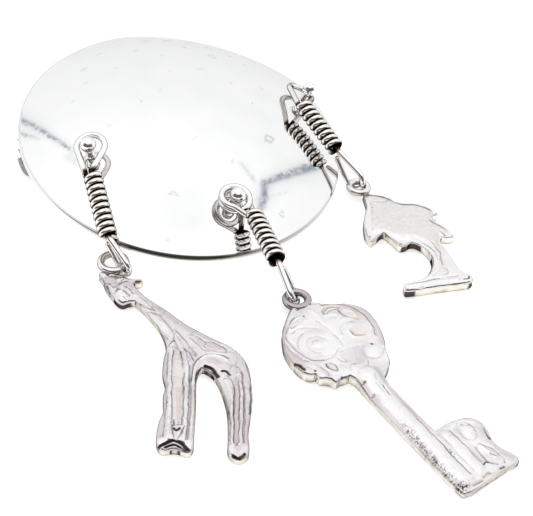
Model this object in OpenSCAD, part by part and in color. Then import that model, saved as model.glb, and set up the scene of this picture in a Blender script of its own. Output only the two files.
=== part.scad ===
/* [Disc] */
// Diameter of the domed disc
disc_d = 45; // [42:0.5:50]
// Rise of the dome above its rim
dome_rise = 5; // [4:0.5:6]
// Thickness of the disc's sheet
sheet_t = 0.9; // [0.7:0.1:1.1]

/* [How the disc lies] */
// Lean of the disc, propped up by the findings on its back
disc_lean = 8; // [7:0.5:9]
// Direction of the rim's lowest point, seen from above
low_side = -39.2; // [-45:0.2:-35]
// Turn of the disc's own x axis, which runs across it as it is worn
worn_turn = 40; // [35:1:45]

/* [Posts and links] */
// Diameter of a post
post_d = 1; // [0.8:0.1:1.2]
// Diameter of the ball on a post
ball_d = 2.15; // [2:0.05:2.4]
// Diameter of the link wire
wire_d = 0.8; // [0.7:0.05:0.85]
// Radius of the eye round a post, to the middle of the wire
eye_r = 1.85; // [1.8:0.05:2]
// Height of the eye above the dome's middle surface
eye_h = 1.75; // [1.5:0.05:1.8]
// Gap between the wrapped wire and its core
wrap_gap = 0.06; // [0.04:0.01:0.1]

/* [Pin finding] */
// Diameter of the pin stem
stem_d = 1; // [0.8:0.1:1]
// Distance of the stem from the disc's middle, towards the worn top
stem_up = 8; // [6.5:0.1:8.5]
// Depth of the stem below the plane of the rim
stem_deep = 3.2; // [3:0.05:3.3]
// Diameter of the round catch that holds the stem's tip
catch_d = 4; // [3.8:0.1:4.2]
// Diameter of the round joint that holds the stem's other end
joint_d = 2.15; // [2:0.05:2.3]
// Length of the stem's straight part
stem_l = 33.5; // [32.5:0.5:34]
// Gap round the stem in its joint and its catch
stem_gap = 0.06; // [0.05:0.01:0.1]

/* [Charms] */
// Thickness of the giraffe's flat body, without its relief
giraffe_t = 1.3; // [1.2:0.1:1.6]
// Thickness of the key's bow, without its relief
bow_t = 1.65; // [1.4:0.05:1.8]
// Thickness of the key's shaft and bit, without their relief
shaft_t = 1; // [0.9:0.1:1.3]
// Thickness of the tree
tree_t = 1.5; // [1.4:0.1:1.6]
// Diameter of the wire of a charm's ring
ring_wire_d = 0.95; // [0.85:0.05:0.95]
// Height of a ring's middle, which leaves room for the link's hook under it
ring_z = 1.42; // [1.4:0.02:1.46]

/* [Hidden] */
round_fn = 96;
wire_sides = 6;
rim_r = disc_d / 2;
// the dome's middle surface is part of a sphere that passes through the rim's plane
dome_r = (rim_r * rim_r + dome_rise * dome_rise) / (2 * dome_rise);
dome_drop = dome_r - dome_rise;
// the disc's middle stands where the rim's lowest edge just meets the surface
disc_at = [-11.03, 16.19, rim_r * sin(disc_lean) + 0.555 * sheet_t * cos(disc_lean)];

// Where the joint and the catch start and end, across the disc as it is worn
JOINT_X = [14, 17.5];
CATCH_X = [-20.2, -17.5];
// length of the stem's point, and how deep a relief's own middle lies in the face that carries it
point_l = 3.2;
sunk = 0.07;

// The three posts: distance from the disc's middle, direction as worn, height to the ball's middle
POSTS = [
    [14.9, 181.4, 2.35],
    [15.8, -99.4, 2.6],
    [19.3, -5.7, 2.35],
];

// The three charms' rings: where each lies from below the disc's middle, and the charm's turn
GIRAFFE_AT = [-5.6, -24.29];
giraffe_turn = 5;
giraffe_ring = [-0.17, 0.22];
KEY_AT = [17.85, -27.39];
key_turn = 37.4;
TREE_AT = [25.21, -3.6];
tree_turn = 17;

// Giraffe's outline from its ring's middle: x, y, and 1 where the edge is smooth or 0 at a corner
GIRAFFE = [
    [-1, -1.2, 0], [-1.7, -1.4, 1], [-1.75, -2.1, 1], [-1.2, -2.9, 1], [-1, -3.6, 1],
    [-0.5, -4.6, 1], [0.2, -5.7, 1], [0.75, -6.5, 1], [1.5, -6.9, 1], [2.3, -6.5, 1],
    [2.9, -6.4, 0], [3.5, -7, 1], [4.3, -8, 1], [5.9, -10.3, 1], [6.8, -12.4, 1],
    [7.1, -14.2, 1], [6.9, -15.8, 1], [6.85, -18.2, 1], [7.25, -20.2, 1], [7.05, -21.8, 1],
    [7.15, -24, 1], [6.75, -25.6, 1], [6.55, -27.7, 1], [6.7, -29, 1], [7.3, -29.7, 1],
    [8.8, -29.5, 1], [10.1, -29.9, 1], [10.75, -29.2, 1], [10.8, -27.2, 1],
    [10.9, -23.6, 1], [10.85, -20, 1], [10.95, -18.2, 1], [11.5, -17.2, 1],
    [12.6, -17.9, 1], [13.4, -19.3, 1], [14.1, -21.6, 1], [14.5, -24, 1], [14.6, -27, 1],
    [14.55, -29.3, 1], [15, -30.2, 1], [15.9, -30.6, 1], [16.8, -30, 1], [17, -29, 1],
    [16.9, -26.9, 1], [17.2, -24.1, 1], [17.4, -21.6, 1], [17.25, -18.7, 1],
    [16.95, -16.6, 1], [16.2, -14.9, 1], [14.7, -13.3, 1], [12.6, -12.1, 1], [9.5, -10, 1],
    [7.1, -7.8, 1], [5, -6.1, 1], [3.6, -4.7, 1], [2.9, -3.7, 1], [2.85, -3.1, 0],
    [3.5, -2.95, 1], [3.75, -2.6, 1], [3.4, -2.3, 1], [2.6, -2.35, 1], [2, -2.4, 0],
    [1.4, -1.9, 1], [0.8, -1.5, 0]
];

// Giraffe's raised ridges: radius of the ridge, and the points that it runs through
GIRAFFE_RIDGES = [
    [0.45, [[7.75, -13.6], [7.6, -17], [7.75, -22], [7.65, -25.5], [7.3, -28.6]]],
    [0.45, [[9.9, -15.4], [10.15, -20], [10.2, -25], [10, -28.9]]],
    [0.4, [[14.3, -17.9], [15.2, -21.5], [15.3, -26], [15.1, -29.4]]],
    [0.4, [[16, -16.8], [16.6, -21], [16.4, -26], [16.3, -29.4]]],
    [0.5, [[2.4, -4.4], [2.1, -5.4], [1.5, -6.2]]],
    [0.4, [[3.4, -6.2], [5.4, -8.8], [7.2, -11.2], [8.4, -13.3], [9.1, -15.6]]],
    [0.4, [[3.7, -5.6], [6.8, -8.4], [9.8, -11], [13.2, -13], [15.4, -15]]],
];

// Key's outline from its ring's middle, with the same columns
KEY = [
    [-1.1, -0.8, 0], [-1.8, -1.1, 1], [-3.1, -2.2, 1], [-4.7, -3.7, 1], [-5.7, -5.3, 1],
    [-6.35, -6.8, 1], [-6.6, -8.6, 1], [-6.4, -10.5, 1], [-5.8, -11.4, 1],
    [-5.2, -11.6, 0], [-5.2, -12.4, 0], [-4.5, -12.8, 1], [-4.1, -13.2, 0],
    [-3.9, -13.9, 0], [-3.1, -13.7, 1], [-2.4, -13.8, 1], [-1.8, -13.8, 0],
    [-1.5, -14.6, 0], [-1.5, -18, 1], [-1.35, -23.9, 1], [-1.15, -30.2, 1],
    [-0.9, -33.6, 1], [-0.3, -34, 1], [0.8, -34.1, 1], [3, -33.9, 1], [5.4, -33.7, 1],
    [7.4, -33.6, 1], [8, -33.1, 1], [7.9, -32.2, 1], [7.3, -30.9, 1], [7.1, -29.8, 1],
    [7.5, -28.6, 1], [7.85, -27.4, 1], [7.6, -26.3, 1], [6.9, -25.5, 1], [5.6, -25, 1],
    [4, -24.9, 1], [2.2, -25.1, 0], [2, -20.3, 1], [1.95, -15.8, 0], [2.8, -15.2, 1],
    [3.9, -14.2, 1], [4.6, -12.4, 0], [5.4, -11.2, 1], [6.1, -9.6, 1], [6.6, -7.6, 1],
    [6.5, -5.4, 1], [5.1, -3.6, 1], [3.6, -2.8, 1], [2.1, -1.9, 1], [1.1, -0.8, 0]
];

// Key's scrolls: middle x, middle y, outer radius, inner radius, start angle, turn in degrees
KEY_SCROLLS = [
    [-2.9, -7.9, 2.2, 0.5, 100, 560],
    [3.1, -7.9, 2, 0.5, 80, -560],
    [-2.7, -4.3, 1.2, 0.35, 170, -300],
    [3.4, -4.7, 1.1, 0.35, 10, 270],
];

// Key's beads and leaves: middle x, middle y, half width, half length
KEY_BEADS = [
    [-3.2, -11.9, 0.7, 1.1],
    [2.9, -12, 1.2, 1.2],
];

// Tree's outline from its ring's middle, with the same columns
TREE = [
    [0.3, -1.1, 0], [0.2, -2.5, 1], [0, -4, 1], [-0.9, -6, 1], [-1.5, -7.8, 1],
    [-1.8, -9.8, 1], [-1.4, -11.2, 0], [-0.3, -10.4, 1], [0.4, -9.8, 1], [0.9, -9.8, 1],
    [1.5, -11, 1], [2.1, -12.4, 1], [3, -12.5, 1], [3.7, -12.1, 0], [4.3, -12.1, 1],
    [5, -12.8, 1], [5.5, -14, 1], [5.65, -15.3, 1], [5.4, -16.4, 1], [4.9, -17.4, 1],
    [4, -18.5, 1], [2.7, -19.2, 1], [1, -19.5, 1], [0.3, -20, 1], [0.3, -20.9, 0],
    [1.5, -21, 1], [5, -20.8, 1], [8.6, -20.7, 1], [9.6, -20.4, 1], [9.8, -19.7, 1],
    [9.1, -18.8, 1], [8.6, -17.9, 1], [8.4, -16.3, 1], [8.1, -14.2, 1], [7.9, -12.6, 1],
    [8.4, -11.6, 1], [9.3, -11.8, 1], [10.1, -11.7, 0], [9.9, -10.6, 1], [9.2, -9.2, 1],
    [8.4, -8.2, 1], [8.5, -7.2, 1], [9.4, -7, 0], [9.1, -6, 1], [8.4, -5.1, 1],
    [7, -4.2, 1], [5.3, -3.8, 1], [4.2, -3.4, 1], [3.8, -2.3, 1], [2.8, -1.7, 1],
    [1.6, -1.5, 1], [0.9, -1, 0]
];

// Each link: its post, the wrap's top and bottom ends, the middle and radius of the hook's bend,
// the side that its first strand takes, the turns of the wrap, the eye's shift from the post,
// the eye's turns, the bare neck above the wrap, and the wrap's hand
LINKS = [
    [0, [-10, -14.85, 7.98], [-6.76, -22.34, 4.45], [-4.42, -24.66, 1.66], 1.17, [0.45, -0.51,
        0.73], 10, [0, -0.15, 0.78], 1, 0.5, 1],
    [1, [11.32, -16.73, 5.58], [14.9, -23.9, 4.6], [17.14, -26.26, 1.68], 1.42, [-0.14, -0.82,
        0.56], 9, [-0.25, -0.29, 0.5], 2, 0, -1],
    [2, [16.47, 6.07, 7.24], [21.65, 0.4, 4.6], [24.52, -2.52, 1.94], 1.5, [0.46, -0.31, 0.83], 9,
        [-0.72, 0.45, 0.24], 1, 0, -1],
];

function unit(v) = v / norm(v);
function about_z(p, a) = [p[0] * cos(a) - p[1] * sin(a), p[0] * sin(a) + p[1] * cos(a), p[2]];
function about_y(p, a) = [p[0] * cos(a) + p[2] * sin(a), p[1], p[2] * cos(a) - p[0] * sin(a)];
function lying(p) = about_z(about_y(about_z(p, worn_turn - low_side), disc_lean), low_side);
// height of the dome's middle surface above the rim's plane, at a distance from the middle
function dome_z(r) = sqrt(dome_r * dome_r - r * r) - dome_drop;
function post_foot(post) = about_z([post[0], 0, dome_z(post[0])], post[1]);
// lean of the post: it stands square to the dome
function post_lean(post) = asin(post[0] / dome_r);
function post_dir(post) = about_z([sin(post_lean(post)), 0, cos(post_lean(post))], post[1]);

// a closed edge through the points of a table, eased into curves where the third column is 1
function ease(a, b, ta, tb, t) =
    (2 * t * t * t - 3 * t * t + 1) * a + (t * t * t - 2 * t * t + t) * ta
    + (3 * t * t - 2 * t * t * t) * b + (t * t * t - t * t) * tb;
function flat(row) = [row[0], row[1]];
function slope(table, i) =
    let (n = len(table))
    table[i % n][2] * (flat(table[(i + 1) % n]) - flat(table[(i + n - 1) % n])) / 2;
function edge(table, steps = 3) = [
    for (i = [0:len(table) - 1])
        for (k = [0:steps - 1])
            ease(flat(table[i]), flat(table[(i + 1) % len(table)]), slope(table, i), slope(table,
                i + 1), k / steps)
];

// sideways directions along a path, each turned no more than the path itself turns
function along(path, i) = unit(path[min(i + 1, len(path) - 1)] - path[max(i - 1, 0)]);
function square_to(v, t) = unit(v - (v * t) * t);
function first_side(t) = square_to(abs(t[2]) < 0.9 ? [0, 0, 1] : [1, 0, 0], t);
function sides(path) = [
    for (i = 0, s = first_side(along(path, 0)); i < len(path);
         i = i + 1, s = i < len(path) ? square_to(s, along(path, i)) : s) s
];

// a round wire along a path
module wire(path, r, sides_n = wire_sides) {
    n = len(path);
    side = sides(path);
    points = [
        for (i = [0:n - 1])
            for (k = [0:sides_n - 1])
                let (a = 360 * (k + 0.5) / sides_n)
                path[i] + r * (cos(a) * side[i] + sin(a) * cross(along(path, i), side[i]))
    ];
    walls = [
        for (i = [0:n - 2])
            for (k = [0:sides_n - 1])
                let (j = (k + 1) % sides_n)
                [i * sides_n + k, (i + 1) * sides_n + k, (i + 1) * sides_n + j, i * sides_n + j]
    ];
    start_cap = [for (k = [0:sides_n - 1]) k];
    end_cap = [for (k = [sides_n - 1:-1:0]) (n - 1) * sides_n + k];
    polyhedron(points, concat([start_cap], walls, [end_cap]), convexity = 8);
}

// a bend of wire that leaves a neck, goes round a middle and comes back to the neck
function bend(neck, middle, side, r, from, to, n) =
    let (u = unit(neck - middle), v = square_to(side, u))
    [for (i = [0:n]) let (a = from + (to - from) * i / n) middle + r * (cos(a) * u + sin(a) * v)];

// the eye's turns, each a wire's thickness and a gap above the last, from the neck and back to it
function eye_turns(neck, middle, side, a0, turns) =
    let (u = unit(neck - middle), v = square_to(side, u), n = 18 * turns,
        pitch = (turns - 1) * (wire_d + 0.1))
    [
        for (i = [0:n])
            let (a = a0 + (360 * turns - 2 * a0) * i / n)
                middle + eye_r * (cos(a) * u + sin(a) * v) + pitch * (a / 360 - turns / 2) * cross(u, v)
    ];

// the link's one wire: hook, core, eye round the post, then the wrap back down the core
function link_path(link) =
    let (
        post = POSTS[link[0]],
        top = link[1],
        end = link[2],
        hook_mid = link[3],
        hook_r = link[4],
        turns = link[6],
        down = unit(end - top),
        normal = lying(post_dir(post)),
        eye = lying(post_foot(post) + link[7]) + eye_h * normal + [0, 0, disc_at[2]],
        apex = top - link[9] * down,
        wrap_r = wire_d + wrap_gap,
        eye_neck = acos(eye_r / norm(apex - eye)),
        eye_side = cross(normal, unit(apex - eye)),
        wrap_x = square_to(-eye_side, down),
        wrap_y = link[10] * cross(down, wrap_x),
        hook_neck = acos(hook_r / norm(end - hook_mid)),
        wrap_n = 12 * turns,
        tuck = end + wrap_r * square_to(-link[5], down) + 0.55 * down
    )
    concat(
        [tuck],
        bend(end, hook_mid, link[5], hook_r, -hook_neck, -360 + hook_neck, 14),
        [end + 0.3 * down, apex],
        eye_turns(apex, eye, eye_side, eye_neck, link[8]),
        link[9] > 0 ? [apex + wrap_r * wrap_x] : [],
        [for (i = [0:wrap_n])
            let (a = 30 * i, s = norm(end - top) * (i / wrap_n))
            top + s * down + wrap_r * (cos(a) * wrap_x + sin(a) * wrap_y)]
    );

// places things in the frame of the lying disc, and back on the surface under it
module on_disc() {
    translate(disc_at)
        rotate([0, 0, low_side])
            rotate([0, disc_lean, 0])
                rotate([0, 0, worn_turn - low_side])
                    children();
}

module beside_disc(at, turn) {
    translate([disc_at[0] + at[0], disc_at[1] + at[1], 0])
        rotate([0, 0, turn])
            children();
}

module dome_sheet() {
    rotate_extrude($fn = round_fn)
        intersection() {
            translate([0, -dome_drop])
                difference() {
                    circle(r = dome_r + sheet_t / 2, $fn = 360);
                    circle(r = dome_r - sheet_t / 2, $fn = 360);
                }
            translate([0, -2])
                square([rim_r, dome_rise + 4]);
        }
}

module post(row) {
    lean = post_lean(row);
    translate(post_foot(row))
        rotate([0, lean, row[1]]) {
            cylinder(d = post_d, h = row[2] + sheet_t / 2, $fn = 32);
            translate([0, 0, row[2] + sheet_t / 2])
                sphere(d = ball_d, $fn = 32);
        }
}

// a short drum on the back, held off the sheet by a block, with a bore for the stem
module drum(span, drum_d, block_w, slot) {
    from = span[0];
    to = span[1];
    difference() {
        union() {
            translate([from, stem_up, -stem_deep])
                rotate([0, 90, 0])
                    cylinder(d = drum_d, h = to - from, $fn = 48);
            intersection() {
                translate([from, stem_up - block_w / 2, -stem_deep])
                    cube([to - from, block_w, stem_deep + dome_rise]);
                translate([0, 0, -dome_drop])
                    sphere(r = dome_r, $fn = 360);
            }
        }
        translate([from - 1, stem_up, -stem_deep])
            rotate([0, 90, 0])
                cylinder(d = stem_d + 2 * stem_gap, h = to - from + 2, $fn = 32);
        if (slot)
            translate([from - 1, stem_up, -stem_deep - stem_d / 2 - stem_gap])
                cube([to - from + 2, drum_d, stem_d + 2 * stem_gap]);
    }
}

module disc() {
    color("whitesmoke")
        on_disc() {
            dome_sheet();
            for (row = POSTS)
                post(row);
            drum(JOINT_X, joint_d, 1.8, false);
            drum(CATCH_X, catch_d, 2.6, true);
        }
}

module pin_stem() {
    color("silver")
        on_disc()
            translate([JOINT_X[1] - 0.5, stem_up, -stem_deep])
                rotate([0, -90, 0]) {
                    cylinder(d = stem_d, h = stem_l, $fn = 32);
                    translate([0, 0, stem_l])
                        cylinder(d1 = stem_d, d2 = 0.1, h = point_l, $fn = 32);
                }
}

module link(i) {
    color("gainsboro")
        translate([disc_at[0], disc_at[1], 0])
            wire(link_path(LINKS[i]), wire_d / 2);
}

module charm_ring(mean_r, shift = [0, 0]) {
    translate([shift[0], shift[1], ring_z])
        rotate_extrude($fn = 48)
            translate([mean_r, 0])
                circle(d = ring_wire_d, $fn = 24);
}

module charm_body(table, t, clear_r, shift = [0, 0]) {
    difference() {
        linear_extrude(height = t)
            polygon(edge(table));
        translate([shift[0], shift[1], -1])
            cylinder(r = clear_r, h = t + 2, $fn = 48);
    }
}

module giraffe() {
    color("lightgray")
        beside_disc(GIRAFFE_AT, giraffe_turn) {
            charm_ring(1.6, giraffe_ring);
            charm_body(GIRAFFE, giraffe_t, 1.6, giraffe_ring);
            for (ridge = GIRAFFE_RIDGES)
                wire([for (p = ridge[1]) [p[0], p[1], giraffe_t - 0.1]], ridge[0], 8);
        }
}

function scroll(row) = [
    for (i = [0:24])
        let (a = row[4] + row[5] * i / 24, r = row[2] + (row[3] - row[2]) * i / 24)
        [row[0] + r * cos(a), row[1] + r * sin(a), bow_t - sunk]
];

module key() {
    color("lightgray")
        beside_disc(KEY_AT, key_turn) {
            charm_ring(1.4);
            charm_body(KEY, shaft_t, 1.4);
            translate([0, 0, shaft_t])
                intersection() {
                    charm_body(KEY, bow_t - shaft_t, 1.4);
                    translate([-9, -15.5, -1])
                        cube([18, 18, 4]);
                }
            for (row = KEY_SCROLLS)
                wire(scroll(row), 0.35);
            for (row = KEY_BEADS)
                translate([row[0], row[1], 0])
                    linear_extrude(height = bow_t + 0.35)
                        polygon([for (a = [0:30:330]) [row[2] * cos(a), row[3] * sin(a)]]);
            // the rib along the shaft, and the bar, the ring and the leaf on the bit
            translate([0.45, -33.7, shaft_t - sunk])
                rotate([-90, 0, 0])
                    cylinder(r = 0.7, h = 20, $fn = 32);
            translate([1.75, -33.3, 0])
                cube([1.1, 6.9, shaft_t + 0.6]);
            translate([4.9, -27.8, shaft_t - sunk])
                rotate_extrude($fn = 24)
                    translate([0.9, 0])
                        circle(r = 0.35, $fn = 12);
            translate([4.9, -31.5, 0])
                linear_extrude(height = shaft_t + 0.35)
                    polygon([for (a = [0:30:330]) [0.7 * cos(a), 1.2 * sin(a)]]);
        }
}

module tree() {
    color("lightgray")
        beside_disc(TREE_AT, tree_turn) {
            charm_ring(1.25);
            charm_body(TREE, tree_t, 1.25);
        }
}

disc();
pin_stem();
link(0);  // link_left
link(1);  // link_middle
link(2);  // link_right
giraffe();
key();
tree();
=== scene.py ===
import math

import bmesh
import bpy
import numpy as np
from mathutils import Matrix


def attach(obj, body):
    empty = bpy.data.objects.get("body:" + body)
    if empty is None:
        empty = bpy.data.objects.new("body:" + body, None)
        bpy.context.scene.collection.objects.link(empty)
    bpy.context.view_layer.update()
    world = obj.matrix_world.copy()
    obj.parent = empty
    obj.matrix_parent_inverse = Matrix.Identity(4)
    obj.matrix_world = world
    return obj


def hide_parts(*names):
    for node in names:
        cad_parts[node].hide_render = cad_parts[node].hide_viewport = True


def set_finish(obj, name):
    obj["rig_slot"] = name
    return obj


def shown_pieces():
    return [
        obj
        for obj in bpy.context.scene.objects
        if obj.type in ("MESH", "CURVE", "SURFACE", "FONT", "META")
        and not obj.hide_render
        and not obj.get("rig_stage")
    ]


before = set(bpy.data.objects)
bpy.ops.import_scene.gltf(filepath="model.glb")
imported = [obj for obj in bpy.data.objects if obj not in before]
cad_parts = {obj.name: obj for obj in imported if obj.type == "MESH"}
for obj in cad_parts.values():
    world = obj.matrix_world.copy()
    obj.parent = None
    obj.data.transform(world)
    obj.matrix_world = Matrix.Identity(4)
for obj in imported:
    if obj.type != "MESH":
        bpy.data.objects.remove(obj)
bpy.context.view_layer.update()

MM = 0.001

# How the disc lies: the same named sizes as in the part's source, in millimetres and degrees
DISC_R = 22.5
DOME_RISE = 5.0
SHEET_T = 0.9
DISC_LEAN = 8.0
LOW_SIDE = -39.2
WORN_TURN = 40.0
DOME_R = (DISC_R ** 2 + DOME_RISE ** 2) / (2 * DOME_RISE)
DOME_DROP = DOME_R - DOME_RISE
LEAN = math.radians(DISC_LEAN)
DISC_AT = np.array([-11.03, 16.19, DISC_R * math.sin(LEAN) + 0.555 * SHEET_T * math.cos(LEAN)])

# The rounding of the disc's edge and how far it is sunk, the painted shade of dings, and the edge's
# painted shade (a dark rim line): even, and by direction, half width and how much
LIP_R = 0.22
LIP_SUNK = 0.04
DING_SHADE = 0.35
EVEN_RIM_SHADE = 0.12
RIM_SHADE = ((-86, 26, 1.2), (66, 6, 0.7), (100, 50, 0.15), (-45, 22, 0.3))

# How finely round forms are drawn: rows of the disc's faces, and steps once round
OUTER_ROWS = 170
INNER_ROWS = 40
DISC_STEPS = 400
POST_STEPS = 48
PIN_STEPS = 32
DRUM_STEPS = 72

# The posts (distance from the middle, direction as worn, height of the ball) and their sizes
POSTS = ((14.9, 181.4, 2.35), (15.8, -99.4, 2.6), (19.3, -5.7, 2.35))
POST_R = 0.5
POST_FROM = 0.2
FILLET_R = 0.3
FILLET_FALL = 0.14
BALL_R = 1.07

# The links: sizes of the wire, of its eye and wrap, how finely it is drawn and eased, and between
# which distances from the core the gaps of the coil get painted shade
WIRE_R = 0.4
WIRE_SIDES = 16
EYE_R = 1.85
EYE_H = 1.75
WRAP_GAP = 0.06
EYE_GAP = 0.1
TUCK = 0.55
CIRCLE_STEP = 0.12
PATH_STEP = 0.04
EASE = 0.12
EASE_STEPS = 9
GAP_SHADE = (1.05, 1.18)

# Each link: top and end of the wrap, hook's middle, radius and side, turns, the eye's shift from
# the post's foot, the eye's turns, the bare neck above the wrap, and the wrap's hand
LINKS = {
    "link_left": (
        (-10, -14.85, 7.98), (-6.76, -22.34, 4.45), (-4.42, -24.66, 1.66), 1.17, (0.45, -0.51, 0.73),
        10, (0, -0.15, 0.78), 1, 0.5, 1),
    "link_middle": (
        (11.32, -16.73, 5.58), (14.9, -23.9, 4.6), (17.14, -26.26, 1.68), 1.42, (-0.14, -0.82, 0.56),
        9, (-0.25, -0.29, 0.5), 2, 0, -1),
    "link_right": (
        (16.47, 6.07, 7.24), (21.65, 0.4, 4.6), (24.52, -2.52, 1.94), 1.5, (0.46, -0.31, 0.83),
        9, (-0.72, 0.45, 0.24), 1, 0, -1),
}

# The findings on the back: how far towards the worn top, how deep, where each starts and ends,
# the rounding of their edges and how much painted shade they carry, lying in the shade under the disc
STEM_UP = 8.0
STEM_DEEP = 3.2
STEM_R = 0.5
STEM_GAP = 0.06
JOINT_X = (14.0, 17.5)
JOINT_R = 1.075
JOINT_W = 1.8
CATCH_X = (-20.2, -17.5)
CATCH_R = 2.0
CATCH_W = 2.6
STEM_FROM = JOINT_X[1] - 0.5
STEM_L = 33.5
POINT_L = 3.2
DRUM_EDGE = 0.12
BLOCK_EDGE = 0.15
FINDING_SHADE = 0.75

# The charms: where each ring's middle lies from the disc's, the turn, and the radius and shift of
# the ring
CHARMS = {
    "giraffe": ((-5.6, -24.29), 5.0, 1.6, (-0.17, 0.22)),
    "key": ((17.85, -27.39), 37.4, 1.4, (0.0, 0.0)),
    "tree": ((25.21, -3.6), 17.0, 1.25, (0.0, 0.0)),
}

# The rings' wire and height, how finely rings and walls are drawn, and the castings' lower edge
RING_WIRE_R = 0.475
RING_Z = 1.42
RING_SIDES = 24
RING_STEPS = 64
LOW_EDGE_R = 0.25
WALL_STEPS = 3

# How the rings are toned: even darkness, painted shade on the lower side, lilac
RING_TONE = {"giraffe": (0.0, 0.5, 0.1), "key": (0.3, 0.9, 0.9), "tree": (0.0, 0.45, 0.1)}


# ---- arrays of vectors ----

def vec(*xyz):
    """One vector from its three numbers."""
    return np.array(xyz, float)


def unit(v):
    """Each vector divided by its own length."""
    return v / np.linalg.norm(v, axis=-1, keepdims=True)


def square_to(v, t):
    """v less its part along t, brought to length 1."""
    t = unit(np.asarray(t, float))
    return unit(v - (v * t).sum(-1, keepdims=True) * t)


def about_z(p, degrees):
    """p turned about z: x cos a - y sin a, x sin a + y cos a."""
    c, s = math.cos(math.radians(degrees)), math.sin(math.radians(degrees))
    x, y, z = np.moveaxis(np.asarray(p, float), -1, 0)
    return np.stack([x * c - y * s, x * s + y * c, z], -1)


def about_y(p, degrees):
    """p turned about y: x cos a + z sin a, z cos a - x sin a."""
    c, s = math.cos(math.radians(degrees)), math.sin(math.radians(degrees))
    x, y, z = np.moveaxis(np.asarray(p, float), -1, 0)
    return np.stack([x * c + z * s, y, z * c - x * s], -1)


def lying(p):
    """From the worn disc's own axes to the axes of the lying one: turn, lean, turn."""
    return about_z(about_y(about_z(p, WORN_TURN - LOW_SIDE), DISC_LEAN), LOW_SIDE)


def on_disc(p):
    """Points in the worn disc's axes, moved to where the lying disc has them."""
    return lying(p) + DISC_AT


def ramp(a, b, x):
    """0 below a, 1 above b, and 3t^2 - 2t^3 between."""
    t = np.clip((x - a) / (b - a), 0, 1)
    return t * t * (3 - 2 * t)


def bell(x, middle, width):
    """1 in the middle, and exp(-t^2) with t in widths to both sides."""
    return np.exp(-((x - middle) / width) ** 2)


def run_of(path):
    """How far along the path each of its points lies."""
    return np.concatenate([[0], np.cumsum(np.linalg.norm(np.diff(path, axis=0), axis=1))])


def sampled(at, s, path):
    """The path's points at the distances in at, where its own points lie at s."""
    return np.stack([np.interp(at, s, path[:, k]) for k in range(3)], -1)


# ---- meshes ----

def quads(rows, cols, closed_rows=False, closed_cols=False):
    """Corner indices of the quads of a grid of rows x cols points, round again where it is closed."""
    down, across = np.arange(rows - (not closed_rows)), np.arange(cols - (not closed_cols))
    i, j = np.meshgrid(down, across, indexing="ij")
    i2, j2 = (i + 1) % rows, (j + 1) % cols
    return np.stack([i * cols + j, i2 * cols + j, i2 * cols + j2, i * cols + j2], -1).reshape(-1, 4)


def piece(name, parts, slot, body="root", replaced=(), tidy=True, **attributes):
    """One object from (points in millimetres, faces) parts, with a number per point for each
    attribute. Poles and seams are merged and faces turned outwards, unless tidy is off."""
    points, faces, start = [], [], 0
    for p, f in parts:
        points.append(np.asarray(p, float).reshape(-1, 3))
        faces.append(np.asarray(f) + start)
        start += len(points[-1])
    co = np.concatenate(points) * MM
    loops = np.concatenate([f.ravel() for f in faces])
    sizes = np.concatenate([np.full(len(f), f.shape[1]) for f in faces])
    mesh = bpy.data.meshes.new(name)
    mesh.vertices.add(len(co))
    mesh.vertices.foreach_set("co", co.ravel())
    mesh.loops.add(len(loops))
    mesh.loops.foreach_set("vertex_index", loops.astype(np.int32))
    mesh.polygons.add(len(sizes))
    mesh.polygons.foreach_set("loop_start", (np.cumsum(sizes) - sizes).astype(np.int32))
    mesh.polygons.foreach_set("use_smooth", np.ones(len(sizes), bool))
    mesh.update(calc_edges=True)
    for key, values in attributes.items():
        layer = mesh.attributes.new(key, "FLOAT", "POINT")
        layer.data.foreach_set("value", np.asarray(values, np.float32).ravel())
    if tidy:
        bm = bmesh.new()
        bm.from_mesh(mesh)
        bmesh.ops.remove_doubles(bm, verts=bm.verts, dist=1e-7)
        bmesh.ops.recalc_face_normals(bm, faces=bm.faces)
        bm.to_mesh(mesh)
        bm.free()
    mesh.validate()
    o = bpy.data.objects.new(name, mesh)
    bpy.context.scene.collection.objects.link(o)
    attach(o, body)
    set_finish(o, slot)
    if replaced:
        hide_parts(*replaced)
    return o


def lathe(profile, n):
    """A profile of (distance from the axis, height) pairs carried once round the z axis in n steps."""
    profile = np.asarray(profile, float)
    a = np.linspace(0, 2 * np.pi, n, endpoint=False)
    r, z = profile[:, :1], profile[:, 1:]
    p = np.stack([r * np.cos(a), r * np.sin(a), z + 0 * a], -1)
    return p, quads(len(profile), n, closed_cols=True)


def arc(middle, r, start, end, n):
    """n points of a circle's arc in the plane, angles in degrees."""
    a = np.radians(np.linspace(start, end, n))
    return np.stack([middle[0] + r * np.cos(a), middle[1] + r * np.sin(a)], -1)


def upright(p, foot, axis):
    """Points about the z axis moved so that z runs along the axis from the foot."""
    axis = unit(axis)
    x = square_to(vec(1, 0.3, 0.1), axis)
    return foot + p[..., :1] * x + p[..., 1:2] * np.cross(axis, x) + p[..., 2:] * axis


def wire(path, refs, r):
    """A round wire: circles of radius r square to the path, shrunk to a point over the last r of
    each end, like a ball's half."""
    s = run_of(path)
    ends = r * (1 - np.cos(np.radians(np.linspace(0, 90, 7))))
    inner = np.linspace(r, s[-1] - r, int((s[-1] - 2 * r) / CIRCLE_STEP))
    at = np.concatenate([ends, inner[1:-1], s[-1] - ends[::-1]])
    from_end = np.clip(np.minimum(at, s[-1] - at) / r, 0, 1)
    swell = np.sqrt(np.clip(1 - (1 - from_end) ** 2, 0, 1))
    mid = sampled(at, s, path)
    along = unit(np.gradient(mid, at, axis=0))
    side = square_to(sampled(at, s, refs), along)
    other = np.cross(along, side)
    a = np.linspace(0, 2 * np.pi, WIRE_SIDES, endpoint=False)
    ring = np.cos(a)[None, :, None] * side[:, None] + np.sin(a)[None, :, None] * other[:, None]
    p = mid[:, None] + (r * swell)[:, None, None] * ring
    return p, quads(len(at), WIRE_SIDES, closed_cols=True)


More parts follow.
